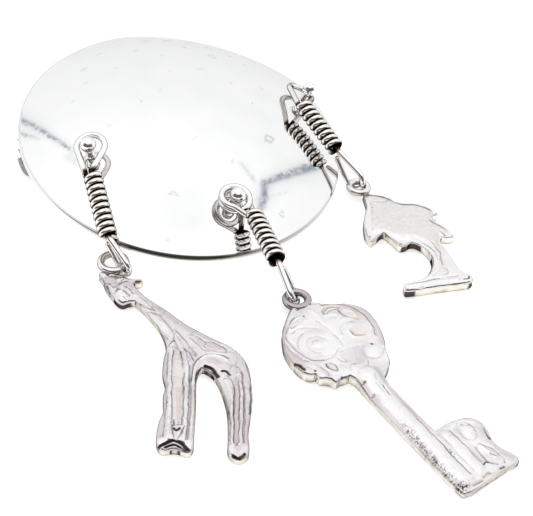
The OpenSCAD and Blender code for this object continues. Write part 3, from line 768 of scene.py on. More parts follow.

# Relief, with the points' x and y one after the other: lines are (height, width, darkness, points),
# spots (height, radius, darkness, points), plates (height, soft edge, lilac, warm, points), tints
# (lilac, warm, width, points), and undercuts, where the wall gets black painted shade, (width, points)
GIRAFFE_LINES = (
    (0.12, 0.4, 0, (0.9, -2.9, 1.6, -2.7, 2.5, -2.75, 3.3, -2.65)),
    (-0.1, 0.16, 0.45, (1.1, -2.9, 0.8, -3.3, 0.6, -4, 0.55, -4.9)),
    (-0.12, 0.22, 0.3, (0.9, -3.2, 0.75, -3.8, 0.65, -4.4)),
    (-0.15, 0.15, 0.85, (-0.7, -3.9, -0.4, -4.7, -0.1, -5.6)),
    (-0.1, 0.14, 0.5, (-1.5, -2.6, -0.9, -3.3, -0.3, -3.5)),
    (-0.12, 0.13, 0.75, (1.5, -4.9, 1.9, -5.3, 2.3, -5.7)),
    (-0.12, 0.13, 0.65, (1.5, -5.9, 1.75, -6.2, 2, -6.4)),
    (-0.1, 0.12, 0.5, (2.1, -4.5, 2.5, -4.9, 2.8, -5.4)),
    (-0.1, 0.12, 0.5, (1.6, -4.1, 1.9, -4.4)),
    (-0.15, 0.16, 0.7, (2.4, -7, 2.8, -7.1, 3, -7.5)),
    (-0.12, 0.13, 0.7, (3.4, -6.9, 4.4, -7.4, 5.3, -7.9)),
    (-0.12, 0.13, 0.6, (4.9, -8.2, 5.6, -8.6, 6.4, -9.1)),
    (-0.1, 0.12, 0.5, (3.6, -5.8, 4.6, -6.9, 5.6, -8.1)),
    (-0.12, 0.14, 0.65, (6.2, -9, 7, -10.2, 7.7, -11.3, 8, -12.2)),
    (-0.1, 0.13, 0.5, (4, -8.2, 5.2, -9.6, 6.4, -11.2, 7.3, -12.8)),
    (0.1, 0.35, 0, (3.6, -7.4, 5.2, -9, 6.6, -10.6, 7.6, -12.4)),
    (0.12, 0.3, 0, (8, -11.6, 8.1, -12.4, 8.7, -13.6, 9.2, -14.8, 9.5, -16.4)),
    (-0.12, 0.13, 0.6, (8.3, -11.5, 8.9, -12.2, 9.5, -13.2, 10.1, -14.2)),
    (-0.12, 0.14, 0.6, (8, -12, 8, -13, 8.5, -14.2, 9, -15.6, 9.1, -17)),
    (0.14, 0.26, 0, (7.4, -14.4, 7.7, -13.7, 8.2, -13.3, 8.6, -14, 8.8, -14.8)),
    (-0.13, 0.13, 0.65, (9.5, -14.3, 10, -15.1, 10.5, -16.1)),
    (-0.12, 0.12, 0.6, (10.3, -14.6, 10.7, -15.1, 10.7, -15.5)),
    (0.15, 0.32, 0, (10.55, -19.6, 10.6, -17.4, 11.1, -16.2, 12, -15.5, 13.2, -15.3, 14.4, -16)),
    (-0.14, 0.14, 0.7, (10.25, -19.4, 10.3, -17.4, 10.7, -16.3, 11.4, -15.6, 12.3, -15.1)),
    (-0.12, 0.12, 0.5, (12.3, -15.1, 13.6, -15, 14.6, -15.6)),
    (-0.3, 0.24, 1, (11.8, -16.9, 12.5, -17.3, 13, -17.9, 13.4, -18.5)),
    (-0.25, 0.16, 1, (13.8, -17.8, 14.3, -17.8, 14.8, -18.3)),
    (0.16, 0.28, 0, (7.7, -14.4, 7.65, -18, 7.75, -22, 7.8, -26, 7.9, -28.2)),
    (-0.1, 0.12, 0.55, (7.4, -15, 7.3, -18, 7.45, -20.2, 7.4, -24, 7.3, -28)),
    (-0.12, 0.12, 0.6, (8.05, -14.6, 8, -18, 8.1, -22, 8.2, -26)),
    (-0.14, 0.14, 0.9, (8.9, -15, 9.2, -17.4, 9.3, -20, 9.35, -23, 9.3, -26.2)),
    (0.16, 0.26, 0, (9.3, -14.8, 9.65, -17.5, 9.7, -22, 9.7, -26, 9.6, -28.6)),
    (-0.12, 0.14, 0.6, (10.05, -17, 10.15, -21, 10.1, -25, 10, -28.2)),
    (0.1, 0.2, 0, (10.5, -18.6, 10.5, -23, 10.4, -28.4)),
    (-0.13, 0.13, 0.9, (8.25, -26.2, 8.4, -27.4, 8.75, -28.5)),
    (-0.13, 0.13, 0.75, (8.75, -28.5, 9.2, -27.6, 9.6, -26.4)),
    (-0.18, 0.16, 1, (8.5, -26.8, 8.8, -27.1, 9.1, -26.8)),
    (-0.14, 0.13, 0.7, (8.4, -25.4, 8.5, -26.2, 9.1, -26.2)),
    (-0.3, 0.22, 1, (7, -29.3, 7.7, -28.9, 8.6, -28.5, 9.4, -28.8, 10.3, -29.6)),
    (-0.22, 0.15, 1, (7.6, -29.4, 8.5, -29.05, 9.3, -29.3, 10, -29.7)),
    (-0.15, 0.14, 0.75, (13.6, -19.8, 14.3, -21.8, 14.7, -24, 14.8, -28.6)),
    (0.16, 0.3, -0.2, (14.3, -19.2, 14.9, -21.6, 15, -25, 15, -28.6)),
    (-0.14, 0.13, 0.8, (14.5, -18.4, 15.1, -19.4, 15.3, -21, 15.3, -26, 15.3, -28.4)),
    (-0.12, 0.12, 0.6, (15.8, -18.4, 15.85, -22, 15.8, -28.4)),
    (0.16, 0.3, -0.2, (15.6, -17.4, 16.05, -20, 16.1, -24, 16, -28.6)),
    (-0.13, 0.14, 0.6, (16.2, -17.6, 16.45, -21, 16.4, -25, 16.3, -28.4)),
    (-0.12, 0.2, 0.85, (16.7, -16, 17.1, -18.4, 17.2, -21.6, 17, -24)),
    (-0.12, 0.12, 0.5, (11.7, -13.2, 12.6, -13, 13.8, -13.7, 14.3, -14.6, 13.2, -14.6, 12, -14.2,
     11.7, -13.2)),
    (-0.12, 0.12, 0.45, (10.4, -12, 11.2, -12.6, 11.8, -13.2)),
    (-0.1, 0.12, 0.4, (9.8, -12.4, 10.6, -13.3, 11.4, -14.2, 12.2, -14.6)),
    (-0.22, 0.2, 1, (15.1, -30.2, 15.7, -30.45, 16.4, -30)),
)
GIRAFFE_SPOTS = (
    (-0.15, 0.14, 0.9, (10.7, -15.3, 0.55, -5, 2.9, -3.9, 5.1, -7.5)),
    (-0.2, 0.25, 0.9, (-0.75, -1.9)),
)
GIRAFFE_PLATES = (
    (-0.12, 0.4, 0.5, 0, (-1.5, -2.5, -0.2, -2, 0.5, -2.6, 0.6, -3.6, 0.2, -4.4, -0.4, -3.8,
     -1.1, -3.6)),
    (0.06, 0.6, 0.3, 0, (1.2, -3.2, 2, -3, 2.8, -3.4, 3, -4.2, 2.4, -4.9, 1.5, -4.6, 1, -3.9)),
    (0.1, 0.5, -0.6, 0, (0.5, -5, 1.3, -4.9, 1.8, -5.8, 2.3, -6.6, 1.4, -6.8, 0.7, -6.4)),
    (-0.14, 0.25, -0.1, 0.16, (8.15, -14.4, 8.8, -15, 9.1, -18, 9.15, -25, 8.9, -26, 8.3, -26,
     8.15, -21)),
    (-0.1, 0.25, 0, 0.3, (8.6, -21, 9.2, -21, 9.25, -25.8, 8.8, -25.6)),
    (-0.12, 0.2, 0.3, 0.1, (15.35, -19.4, 15.7, -18.8, 15.75, -24, 15.7, -28.4, 15.4, -28.4, 15.4, -24)),
    (0.05, 0.3, 0.5, 0, (11.9, -15.8, 12.8, -15.6, 13.5, -16.2, 13.6, -16.8, 12.8, -16.7, 12.1, -16.5)),
    (0.04, 0.25, 0.5, 0, (11.8, -13.3, 12.6, -13.1, 13.7, -13.8, 14.2, -14.5, 13.2, -14.5, 12.1, -14.1)),
    (0.04, 0.3, 0.35, 0, (9.7, -12.2, 10.6, -12.2, 11.4, -13.2, 11.6, -14.2, 10.6, -13.6)),
    (0.04, 0.25, 0.4, 0, (9.8, -14.3, 10.4, -14.4, 10.6, -15.6, 10.2, -15.1)),
    (0.08, 0.3, 0.4, 0, (15.3, -29.2, 15.6, -28.8, 16, -29.2, 15.7, -29.7)),
)
GIRAFFE_TINTS = (
    (0.45, 0, 0.7, (3.4, -4.9, 5.2, -6.9, 7, -8.6, 9, -10.2, 11, -11.6, 13.4, -12.8)),
    (0.45, 0, 0.35, (7.1, -15, 7.05, -18, 7.3, -20.4, 7.3, -24, 7.1, -28)),
    (0.3, 0, 0.3, (10.3, -17, 10.35, -22, 10.2, -28)),
    (0.15, 0, 0.5, (16.7, -16, 16.9, -20, 16.7, -25, 16.5, -28)),
    (-0.3, 0, 0.5, (4, -7.6, 5.6, -9.4, 7, -11.6)),
    (-0.4, 0, 0.6, (7.2, -28.8, 8.8, -27.9, 10.2, -28.8)),
    (-0.4, 0, 0.7, (14.9, -29.4, 16.4, -29.3)),
    (0, 0.3, 0.3, (1.6, -5, 2.3, -5.7)),
    (0, 0.25, 0.25, (3.6, -7, 5.3, -8, 6.2, -9)),
    (0.2, 0.25, 0.3, (15.2, -19.2, 15.4, -22, 15.4, -27)),
    (0, 0.2, 0.3, (16.5, -18, 16.7, -20.5)),
)
KEY_LINES = (
    (-0.2, 0.18, 0.6, (-1.1, -1.6, 0, -1.45, 0.7, -1.45, 1.7, -1.8)),
    (-0.14, 0.22, 0.3, (-2.5, -2.6, -4.2, -3.9, -5, -5.1, -5.1, -7, -4.9, -8.5, -4.3, -9.6,
     -3.1, -10.2)),
    (-0.07, 0.16, 0.3, (-3.2, -2.5, -4.9, -4, -5.7, -5.4, -5.8, -7.3, -5.5, -9)),
    (-0.14, 0.22, 0.25, (2, -2.3, 3.6, -2.9, 4.8, -3.9, 5.5, -5.2, 5.8, -7, 5.6, -8.6, 5, -9.9)),
    (0.07, 0.7, 0, spiral(-2.4, -7.9, 2.2, 1.0, -50, 400, 40)),
    (-0.06, 0.16, 0.22, oval(-2.4, -7.9, 2.45, 2.5, 0, 100, 320)),
    (-0.06, 0.14, 0.2, oval(-2.3, -7.9, 1.3, 1.3, 0, 20, 250)),
    (-0.06, 0.13, 0.2, (-2.9, -7.6, -2.5, -7.2, -2, -7.4)),
    (0.07, 0.34, 0, oval(-2.5, -3.7, 1.5, 0.6, 12, 30, 330)),
    (-0.06, 0.14, 0.25, oval(-2.4, -3.7, 1.15, 0.4, 12, 0, 220)),
    (-0.06, 0.14, 0.2, (-4, -4.8, -3, -4.6, -1.8, -4.9, -0.8, -5.6)),
    (0.07, 0.45, 0, (3.8, -6.2, 2.8, -6, 1.7, -6.4, 1.1, -7.2, 0.9, -8.1)),
    (-0.06, 0.16, 0.22, (3.9, -6.7, 2.8, -6.5, 1.8, -6.9, 1.4, -7.8)),
    (0.08, 0.34, 0, (3.2, -7.1, 2.5, -7.5, 2.3, -8.2, 2.6, -8.9, 3.2, -9.4, 4.1, -9.5, 4.9, -9.2,
     5.3, -8.6)),
    (-0.16, 0.16, 0.75, (2.5, -8.1, 2.65, -8.7, 3.2, -9.2)),
    (-0.06, 0.14, 0.25, (3.3, -9.3, 4.2, -9.5, 5, -9.2, 5.4, -8.5)),
    (-0.18, 0.17, 0.85, (1.4, -3.8, 1.5, -3.3, 2, -2.95)),
    (-0.16, 0.15, 0.6, (1.5, -3.5, 2.2, -3.2, 3, -3.4, 3.7, -3.95)),
    (-0.08, 0.13, 0.6, (1.7, -4, 2.3, -3.8, 2.9, -3.9, 3.5, -4.1)),
    (0.07, 0.3, 0, (1.5, -4.3, 2.4, -4.5, 2.8, -5.2, 2.2, -5.6)),
    (-0.06, 0.14, 0.3, (1.9, -4.9, 2.3, -5.2, 2.1, -5.7)),
    (-0.2, 0.18, 0.95, (3.35, -4.3, 3.4, -5.1, 3.7, -5.7)),
    (-0.16, 0.14, 0.7, (3.7, -5.7, 4.1, -6.2, 4.6, -6.6)),
    (0.08, 0.35, 0, (4, -4.6, 4.7, -5.2, 4.8, -6.1)),
    (-0.14, 0.13, 0.75, (-3.3, -11, -3.4, -11.7, -3, -12.4, -2.6, -12.4)),
    (-0.14, 0.13, 0.6, (-2.8, -11.2, -2.5, -11.7, -2.6, -12.3)),
    (-0.07, 0.13, 0.35, (-1.6, -10.8, -1.4, -11.6, -1, -11.9, -0.8, -11.6)),
    (-0.07, 0.16, 0.25, oval(3, -11.9, 1.35, 1.3, 0, 110, 350)),
    (-0.22, 0.22, 1, (-6.5, -9, -6.2, -9.6, -6.1, -10.4)),
    (-0.14, 0.13, 0.7, (-5.3, -9.2, -5, -9.6)),
    (-0.08, 0.12, 0.5, (-5.6, -10.1, -5.3, -10.8)),
    (-0.06, 0.16, 0.2, (-0.2, -4.4, 0.3, -6, 0.4, -8, 0.1, -9.4)),
    (0.06, 0.3, 0, (0.2, -2.6, 0.5, -4, 0.4, -5.4)),
    (-0.08, 0.13, 0.4, (-4.2, -11, -3.9, -12, -4.2, -12.8)),
    (-0.06, 0.14, 0.3, (-1.3, -13.2, -0.9, -12.6, -0.1, -12.5)),
    (-0.06, 0.14, 0.3, (1, -13.6, 1.5, -12.9, 1.5, -12.3)),
    (0.25, 1.3, 0, (0.15, -14.8, 0.2, -19, 0.3, -24, 0.4, -32.4)),
    (-0.15, 0.16, 0.95, (-1.5, -15.7, -0.9, -15.6)),
    (-0.15, 0.18, 0.95, (-1.5, -17.4, -0.9, -17.4)),
    (-0.08, 0.12, 0.4, (0.3, -16.2, 0.4, -17.8)),
    (-0.18, 0.15, 0.9, (0.95, -16.8, 0.8, -18.3)),
    (-0.06, 0.16, 0.4, (-0.7, -22.6, -0.3, -23.6, -0.15, -24.2)),
    (-0.06, 0.2, 0.3, (1.4, -22.8, 1.5, -26, 1.6, -29, 1.65, -32)),
    (0.2, 0.85, 0, (2.75, -26.3, 2.8, -29, 2.85, -31.8)),
    (-0.07, 0.14, 0.5, (2.1, -25.8, 2.15, -29, 2.2, -32)),
    (-0.06, 0.2, 0.25, (3.7, -26, 3.8, -29, 3.9, -31.4)),
    (-0.07, 0.16, 0.35, oval(5.3, -27.1, 1.0, 1.4)),
    (-0.2, 0.15, 0.95, (5.4, -26.1, 5.8, -26.5)),
    (-0.2, 0.2, 0.9, (7.4, -27.8, 7.1, -28.6, 6.95, -29.3)),
    (-0.14, 0.14, 0.6, (4.6, -29.4, 4.5, -31.3, 4.7, -32, 5.3, -32.6)),
    (-0.14, 0.14, 0.6, (5.5, -29.6, 6.1, -30.6, 6.4, -31.6)),
    (0.15, 0.35, 0, (5, -29.6, 5.4, -30.7, 5.7, -31.8)),
    (-0.16, 0.14, 0.9, (5.4, -31.1, 5.8, -31.7)),
    (-0.15, 0.14, 0.9, (3.7, -31.9, 4.3, -31.7, 4.8, -32.1, 5.3, -32.6)),
    (-0.15, 0.15, 0.8, (0.8, -33.6, 1.6, -33.5, 2.2, -33.5)),
    (-0.15, 0.17, 0.9, (2.6, -33.2, 3.2, -33.05, 3.7, -33.2)),
    (-0.15, 0.17, 0.95, (5.2, -33.2, 5.7, -33.2)),
    (-0.07, 0.14, 0.6, (6.2, -31.6, 6.4, -32.3, 6, -32.8)),
    (0.08, 0.35, 0, (3, -25.7, 5, -25.6, 6.6, -26.1, 7.2, -27.2)),
)
KEY_SPOTS = (
    (-0.2, 0.2, 1, (-5.1, -11.2, -4.9, -12.7, 3.55, -11, -2.9, -13.6)),
    (-0.15, 0.16, 0.9, (-1, -3, -1.6, -18.4)),
    (0.12, 0.8, 0, (-2.4, -7.9)),
    (0.12, 1.15, 0, (3, -11.9)),
    (0.2, 0.95, 0, (5.3, -27.1)),
)
KEY_PLATES = (
    (-0.08, 0.4, 0.3, 0, (-1, -10.4, 1.9, -10.2, 1.6, -12, 0.9, -12.9, -0.6, -12.4)),
    (0.06, 0.3, 0.3, 0, oval(-2.9, -11.8, 0.5, 0.7)),
    (0.05, 0.5, 0.5, 0.1, (-4.7, -10.4, -4.2, -11, -3.8, -13, -4.4, -13.2)),
)
KEY_TINTS = (
    (0.7, 0, 0.9, (2.4, -2.2, 4, -3, 5.5, -4.2, 6.3, -6, 6.4, -8, 5.9, -10, 5.1, -11.3)),
    (0.6, 0.1, 0.6, (-4.2, -3.3, -5.5, -4.8, -6.1, -7, -5.9, -9.4)),
    (0, 0.6, 0.3, (1.6, -3.4, 2.6, -3.3, 3.8, -3.9)),
    (0, 0.6, 0.35, (4.9, -5.2, 5, -6, 4.7, -6.7)),
    (0, 0.75, 0.4, (2.5, -8, 2.7, -8.9, 3.4, -9.5)),
    (0, 0.2, 0.3, (-3.2, -11, -3.2, -12.2)),
    (0.6, 0, 0.5, (1.5, -14.5, 1.5, -19, 1.6, -24.5)),
    (0.5, 0.1, 0.4, (-1.2, -15, -1.1, -20, -0.9, -26, -0.7, -32.5)),
    (0.4, 0.1, 0.5, (4.2, -26.4, 4.1, -29, 4, -31.6)),
    (0.4, 0.1, 0.6, (7, -27, 6.9, -29, 6.8, -31, 7.2, -32.6)),
    (0.2, 0.4, 0.3, (0, -33.5, 3, -33.4, 6, -33.4)),
)
TREE_LINES = (
    (-0.16, 0.14, 0.5, (-1.2, -6.6, -1.5, -8, -1.6, -9.5, -1.4, -10.6)),
    (-0.12, 0.13, 0.5, (6.7, -12.5, 6.9, -13.6, 7, -14.8)),
    (-0.12, 0.13, 0.55, (6.9, -15, 6.6, -17)),
    (-0.12, 0.13, 0.6, (6.8, -17.6, 6.9, -18.3, 6.6, -18.7, 6.1, -18.9)),
    (-0.1, 0.13, 0.45, (6.6, -19.4, 8, -19.3)),
    (-0.2, 0.16, 0.9, (8.5, -20.1, 9.2, -20, 9.4, -19.5)),
    (0.12, 0.4, 0, (4.2, -11.5, 5.2, -12.4, 6, -14.2, 6.1, -16, 5.6, -17.6, 4.4, -19)),
    (0.1, 0.35, 0, (1.3, -20.2, 4, -20.1, 7.6, -20)),
    (-0.16, 0.16, 0.85, (0.5, -20.8, 1.4, -20.85, 2.8, -20.7)),
    (-0.08, 0.14, 0.3, (1, -19.9, 3, -19.7, 5.4, -19.5)),
    (-0.16, 0.14, 0.8, (8.3, -7.2, 9, -6.8, 9.2, -6.4)),
    (-0.16, 0.15, 0.8, (8.5, -10.6, 9.2, -11.3, 9.9, -11.5)),
    (-0.08, 0.13, 0.3, (1.2, -3.4, 2.6, -3.6, 3.4, -3.2)),
    (-0.08, 0.13, 0.35, (0.7, -3.3, 0.6, -4.4)),
    (-0.08, 0.13, 0.3, (5.6, -12.4, 6.2, -13.6, 6.3, -16)),
)
TREE_SPOTS = (
    (-0.2, 0.2, 1, (0.3, -10.2, 3.9, -12.2)),
    (-0.1, 0.2, 0.5, (-1.1, -10.7, 2.4, -12, -1.3, -10)),
    (-0.05, 0.14, 0.22, (3.1, -2.6, 7.2, -5, 7.6, -4.9, 2.5, -2.5)),
)
TREE_TINTS = (
    (0.5, 0.1, 0.3, (-1, -10.7, -0.8, -10.3)),
    (0.5, 0.15, 0.4, (2, -11.8, 2.7, -11.9)),
    (0.15, 0.2, 0.4, (6.9, -13, 6.8, -16, 6.4, -18.2)),
    (0.2, 0.05, 0.5, (1.5, -20.3, 5, -20.2, 8.8, -20)),
)
TREE_CANOPY = (
    0.6, -2, 0.6, -4.5, 0.2, -6, -0.5, -8.8, 0.1, -9.4, 1.1, -9.7, 2.1, -10.6, 3.3, -11, 4.4, -11,
    5.4, -11.8, 6.2, -13, 6.9, -14, 7.6, -12.4, 8, -11.2, 9, -11, 9.4, -10.2, 7.9, -8.2, 8.4, -6.8,
    8.3, -5.8, 6.8, -4.7, 4.9, -4.3, 3.6, -3.2, 2.2, -2.2,
)
GIRAFFE_UNDER = (
    (0.5, (0.5, -6.2, 0.9, -6.7, 1.5, -6.9, 2.3, -6.6)),
    (0.16, (11.5, -17.25, 12.2, -17.5, 12.9, -18.2)),
    (0.1, (8.2, -29.55, 9.4, -29.6)),
)
KEY_UNDER = (
    (0.35, (-6, -11.2, -5.4, -11.6)),
    (0.35, (-4.8, -12.8, -4.3, -13.1)),
    (0.3, (-3.3, -13.6, -2.8, -13.6)),
    (0.5, (-1.1, -33.2, -0.4, -34, 0.6, -34.1)),
    (0.3, (-6.6, -9.2, -6.4, -10.4)),
)
TREE_UNDER = (
    (0.35, (2.6, -12.5, 3.7, -12.1, 4.3, -12.1, 5, -12.8)),
    (0.3, (-0.2, -10.5, 0.6, -9.8)),
    (0.25, (5.65, -15.3, 5.4, -16.4)),
    (0.3, (0.3, -20.9, 1.5, -21)),
    (0.35, (9.2, -20.5, 9.7, -19.9)),
)


def relief(x, y, d, pitch, lines, spots, plates, tints, undercuts,
           lilac, dome_up, rough, map_dark, edge_dark, seed):
    """A slight dome and seeded mottling, with the tables' lines, spots and plates raised or sunk.
    Painted shade gathers in hollows and along the edge."""
    def noise(size, draw):
        return mottled(d.shape, size / pitch, seed + draw)

    up, down, plate, dark, warm = [0 * x for _ in range(5)]
    lilac = lilac + 0.35 * noise(0.9, 0)
    x = x + 0.09 * noise(0.45, 5) + 0.03 * noise(0.15, 6)
    y = y + 0.09 * noise(0.45, 7) + 0.03 * noise(0.15, 8)
    worn = np.clip(0.7 + 0.5 * noise(0.6, 9), 0, 1)
    for height, width, shade, points in lines:
        mask = near(x, y, points, width)
        up, down = np.maximum(up, height * mask), np.maximum(down, -height * mask)
        black = shade * worn * ramp(0.5, 1, mask) if shade < 1 else ramp(0.05, 0.4, mask)
        dark = np.maximum(dark, black)
    for height, radius, shade, points in spots:
        for px, py in np.reshape(points, (-1, 2)):
            mask = near(x, y, ((px, py), (px + 0.01, py)), radius, curve=False)
            up, down = np.maximum(up, height * mask ** 0.7), np.maximum(down, -height * mask)
            dark = np.maximum(dark, shade * mask)
    for height, soft, violet, gold, points in plates:
        mask = inside(x, y, points, soft)
        plate = plate + height * mask
        lilac, warm = lilac + violet * mask, warm + gold * mask
    for violet, gold, width, points in tints:
        mask = near(x, y, points, width)
        lilac, warm = lilac + violet * mask, warm + gold * mask
    rise = up - down + plate + rough * (noise(0.5, 1) + 0.4 * noise(0.16, 2))
    field = 1.3 * noise(0.8, 10) + 2.5 * rise
    grain = noise(0.3, 4)
    dark = np.maximum(dark * np.clip(1 + 0.55 * grain, 0.35, 1.4), ramp(0.75, 0.98, dark))
    contour = map_dark * worn * ramp(0.4, 0.5, np.abs(field * 1.6 % 1 - 0.5)) * ramp(0.2, 0.5, d)
    # Painted shade in the hollows and along the outline
    hollow = np.clip((blurred(rise, 0.3 / pitch) - rise - 0.02) / 0.14, 0, 1)
    edge = (1 - ramp(0.03, 0.2, d)) * np.clip(0.6 + 0.5 * noise(0.8, 3), 0, 1)
    for more in (contour, 0.25 * hollow, edge_dark * edge):
        dark = np.maximum(dark, more)
    lilac = lilac - 0.6 * np.clip(up / 0.3, 0, 1)
    # Painted shade for the walls, strongest under the undercuts; cast darkens it towards the floor
    undercut = np.clip(0.15 + 0.2 * grain, 0, 1)
    for width, points in undercuts:
        undercut = np.maximum(undercut, near(x, y, points, width) ** 0.3)
    shades = {"dark": np.clip(dark, 0, 1), "lilac": np.clip(lilac, 0, 1), "warm": np.clip(warm, 0, 1)}
    return rise + dome_up * ramp(0, 1.6, d), shades, undercut


def giraffe_relief(x, y, d, pitch):
    """Face, mane, neck lines, legs and their hollows."""
    return relief(x, y, d, pitch, GIRAFFE_LINES, GIRAFFE_SPOTS, GIRAFFE_PLATES, GIRAFFE_TINTS, GIRAFFE_UNDER,
                  lilac=0.6, dome_up=0.2, rough=0.03, map_dark=0.35, edge_dark=0.55, seed=11)


def key_relief(x, y, d, pitch):
    """The scrolls, leaves, shaft and bit, with fine dark speckle down the shaft's left side and at
    its lower end."""
    rise, shades, undercut = relief(
        x, y, d, pitch, KEY_LINES, KEY_SPOTS, KEY_PLATES, KEY_TINTS, KEY_UNDER,
        lilac=0.3, dome_up=0.12, rough=0.014, map_dark=0.12, edge_dark=0.5, seed=23)
    fine = mottled(x.shape, 0.055 / pitch, 61)
    left = bell(x + 0.75 - 0.02 * (y + 27), 0, 0.42) * ramp(-21, -24, y) * ramp(-34, -33, y)
    right = np.exp(-((x - 1.6) / 0.3) ** 2 - ((y + 28.8) / 1.2) ** 2)
    corner = np.exp(-((x + 0.4) / 0.75) ** 2 - ((y + 33.1) / 0.5) ** 2)
    speckle = (left + 0.7 * right) * ramp(0.0, 0.6, fine) + 1.5 * corner * ramp(-0.6, 0.3, fine)
    speckle = np.clip(speckle, 0, 1)
    shades["dark"] = np.maximum(shades["dark"], speckle)
    return rise - 0.08 * speckle, shades, 0.6 * undercut


def tree_relief(x, y, d, pitch):
    """The canopy's flat top falls to a bevel along its lower side."""
    rise, shades, undercut = relief(
        x, y, d, pitch, TREE_LINES, TREE_SPOTS, (), TREE_TINTS, TREE_UNDER,
        lilac=0.0, dome_up=0.04, rough=0.006, map_dark=0.0, edge_dark=0.4, seed=37)
    flat = inside(x, y, TREE_CANOPY, 0.9)
    speckle = flat * (0.07 + 0.045 * mottled(x.shape, 0.08 / pitch, 71))
    shades["dark"] = np.maximum(shades["dark"], speckle)
    shades["warm"] = np.clip(shades["warm"] + 0.06 * flat, 0, 1)
    shades["lilac"] = np.clip(0.6 * shades["lilac"] + 0.05 * flat, 0, 1)
    return rise - 0.3 * (1 - flat) * ramp(-15, -12, y), shades, undercut


def charms():
    """The three castings, each with its thickness, edge, relief and grid step, and their rings."""
    cast("giraffe", GIRAFFE, lambda x, y: 1.3 + 0 * x, 0.35, giraffe_relief, 0.075)
    cast("key", KEY, lambda x, y: 1.0 + 0.65 * ramp(-17.5, -14.6, y), 0.3, key_relief, 0.085)
    cast("tree", TREE, lambda x, y: 1.5 + 0 * x, 0.3, tree_relief, 0.08)
    for name in CHARMS:
        charm_ring(name)


# ---- finishes ----

class Value:
    """A shader socket on which Python's operators work; each adds one Math node."""

    def __init__(self, finish, socket):
        self.finish, self.socket = finish, socket

    def math(self, operation, *values):
        return self.finish.node("ShaderNodeMath", {"operation": operation}, dict(enumerate(values)))

    def __add__(self, other):
        return self.math("ADD", self, other)

    def __radd__(self, other):
        return self.math("ADD", other, self)

    def __sub__(self, other):
        return self.math("SUBTRACT", self, other)

    def __rsub__(self, other):
        return self.math("SUBTRACT", other, self)

    def __mul__(self, other):
        return self.math("MULTIPLY", self, other)


class Finish:
    """A material on its own Principled shader. Fixed values are set on the shader's own sockets."""

    def __init__(self, name, owner=None, **fixed):
        self.material = owner or bpy.data.materials.new(name)
        self.material.use_nodes = True
        self.tree = self.material.node_tree
        self.shader = self.tree.nodes["Background" if owner else "Principled BSDF"]
        for key, value in fixed.items():
            self.shader.inputs[key.replace("_", " ")].default_value = value

    def node(self, kind, settings=None, inputs=None, out=0):
        """Adds a node: its settings first, then the values or links of its sockets."""
        n = self.tree.nodes.new(kind)
        for key, value in (settings or {}).items():
            setattr(n, key, value)
        for key, value in (inputs or {}).items():
            if isinstance(value, Value):
                self.tree.links.new(value.socket, n.inputs[key])
            else:
                n.inputs[key].default_value = value
        return Value(self, n.outputs[out])

    def feed(self, socket, value):
        """Links a value to a socket of the shader."""
        self.tree.links.new(value.socket, self.shader.inputs[socket])

    def attribute(self, name):
        """A number that the mesh carries per point."""
        return self.node("ShaderNodeAttribute", {"attribute_name": name}, out="Fac")

    def place(self):
        """Object coordinates in millimetres."""
        co = self.node("ShaderNodeTexCoord", out="Object")
        return self.node("ShaderNodeVectorMath", {"operation": "SCALE"}, {0: co, "Scale": 1 / MM})

    def noise(self, scale, detail=3.0, roughness=0.5, vector=None):
        """Noise over the place in millimetres, or over a given vector."""
        values = {"Scale": scale, "Detail": detail, "Roughness": roughness}
        return self.node("ShaderNodeTexNoise", {}, {"Vector": vector or self.place(), **values})

    def mix(self, factor, a, b):
        """Colour a where the factor is 0, b where it is 1."""
        a, b = [(*c, 1) if isinstance(c, tuple) else c for c in (a, b)]
        return self.node("ShaderNodeMix", {"data_type": "RGBA"}, {0: factor, 6: a, 7: b}, out=2)

    def stepped(self, value, a, b):
        """0 to 1 while the value goes from a to b, eased; a may be the larger."""
        span = {"Value": value, "From Min": min(a, b), "From Max": max(a, b)}
        up = self.node("ShaderNodeMapRange", {"interpolation_type": "SMOOTHSTEP"}, span)
        return up if a < b else 1 - up

    def absolute(self, value):
        """The value without its sign."""
        return self.node("ShaderNodeMath", {"operation": "ABSOLUTE"}, {0: value})


def polished_silver():
    """The disc's mirror, with painted shade in dings and along the rim, and on the findings."""
    f = Finish("mirror_polish", Metallic=1.0, Roughness=0.06, Specular_Tint=(0.8, 0.8, 0.8, 1))
    colour = f.mix(f.noise(0.3), (0.96, 0.955, 0.95), (0.91, 0.915, 0.92))
    f.feed("Base Color", f.mix(f.attribute("mark"), colour, (0.05, 0.048, 0.04)))
    return f.material


def wire_silver():
    """Bright wire with painted shade: grey on its flanks, brown and then black in the gaps of the coil."""
    f = Finish("wire_polish", Metallic=1.0, Roughness=0.12, Specular_Tint=(0.05, 0.04, 0.03, 1))
    colour = f.mix(f.attribute("flank") * 0.62, (0.95, 0.945, 0.935), (0.2, 0.185, 0.15))
    deep = f.attribute("deep")
    colour = f.mix(f.stepped(deep, 0.02, 0.45), colour, (0.4, 0.27, 0.18))
    f.feed("Base Color", f.mix(f.stepped(deep, 0.3, 0.8), colour, (0.02, 0.013, 0.01)))
    return f.material


def cast_silver():
    """Bright castings with a lilac and a warm tone, a yellowish lower side, dark lines, and painted shade in
    hollows, along edges and down the walls.
    """
    f = Finish("cast_finish", Metallic=1.0, Roughness=0.2, Specular_Tint=(0.1, 0.09, 0.08, 1))
    colour = f.mix(f.noise(0.6), (0.96, 0.95, 0.945), (0.88, 0.86, 0.87))
    colour = f.mix(f.attribute("lilac"), colour, (0.68, 0.62, 0.65))
    colour = f.mix(f.attribute("warm"), colour, (0.78, 0.62, 0.5))
    colour = f.mix(f.attribute("low"), colour, (0.9, 0.86, 0.74))
    f.feed("Base Color", f.mix(f.attribute("dark"), colour, (0.075, 0.055, 0.05)))
    return f.material


def pin_silver():
    """The stem's plainer polish."""
    f = Finish("pin_polish", Metallic=1.0, Roughness=0.2)
    f.feed("Base Color", f.mix(f.noise(0.8), (0.85, 0.85, 0.85), (0.7, 0.7, 0.72)))
    return f.material


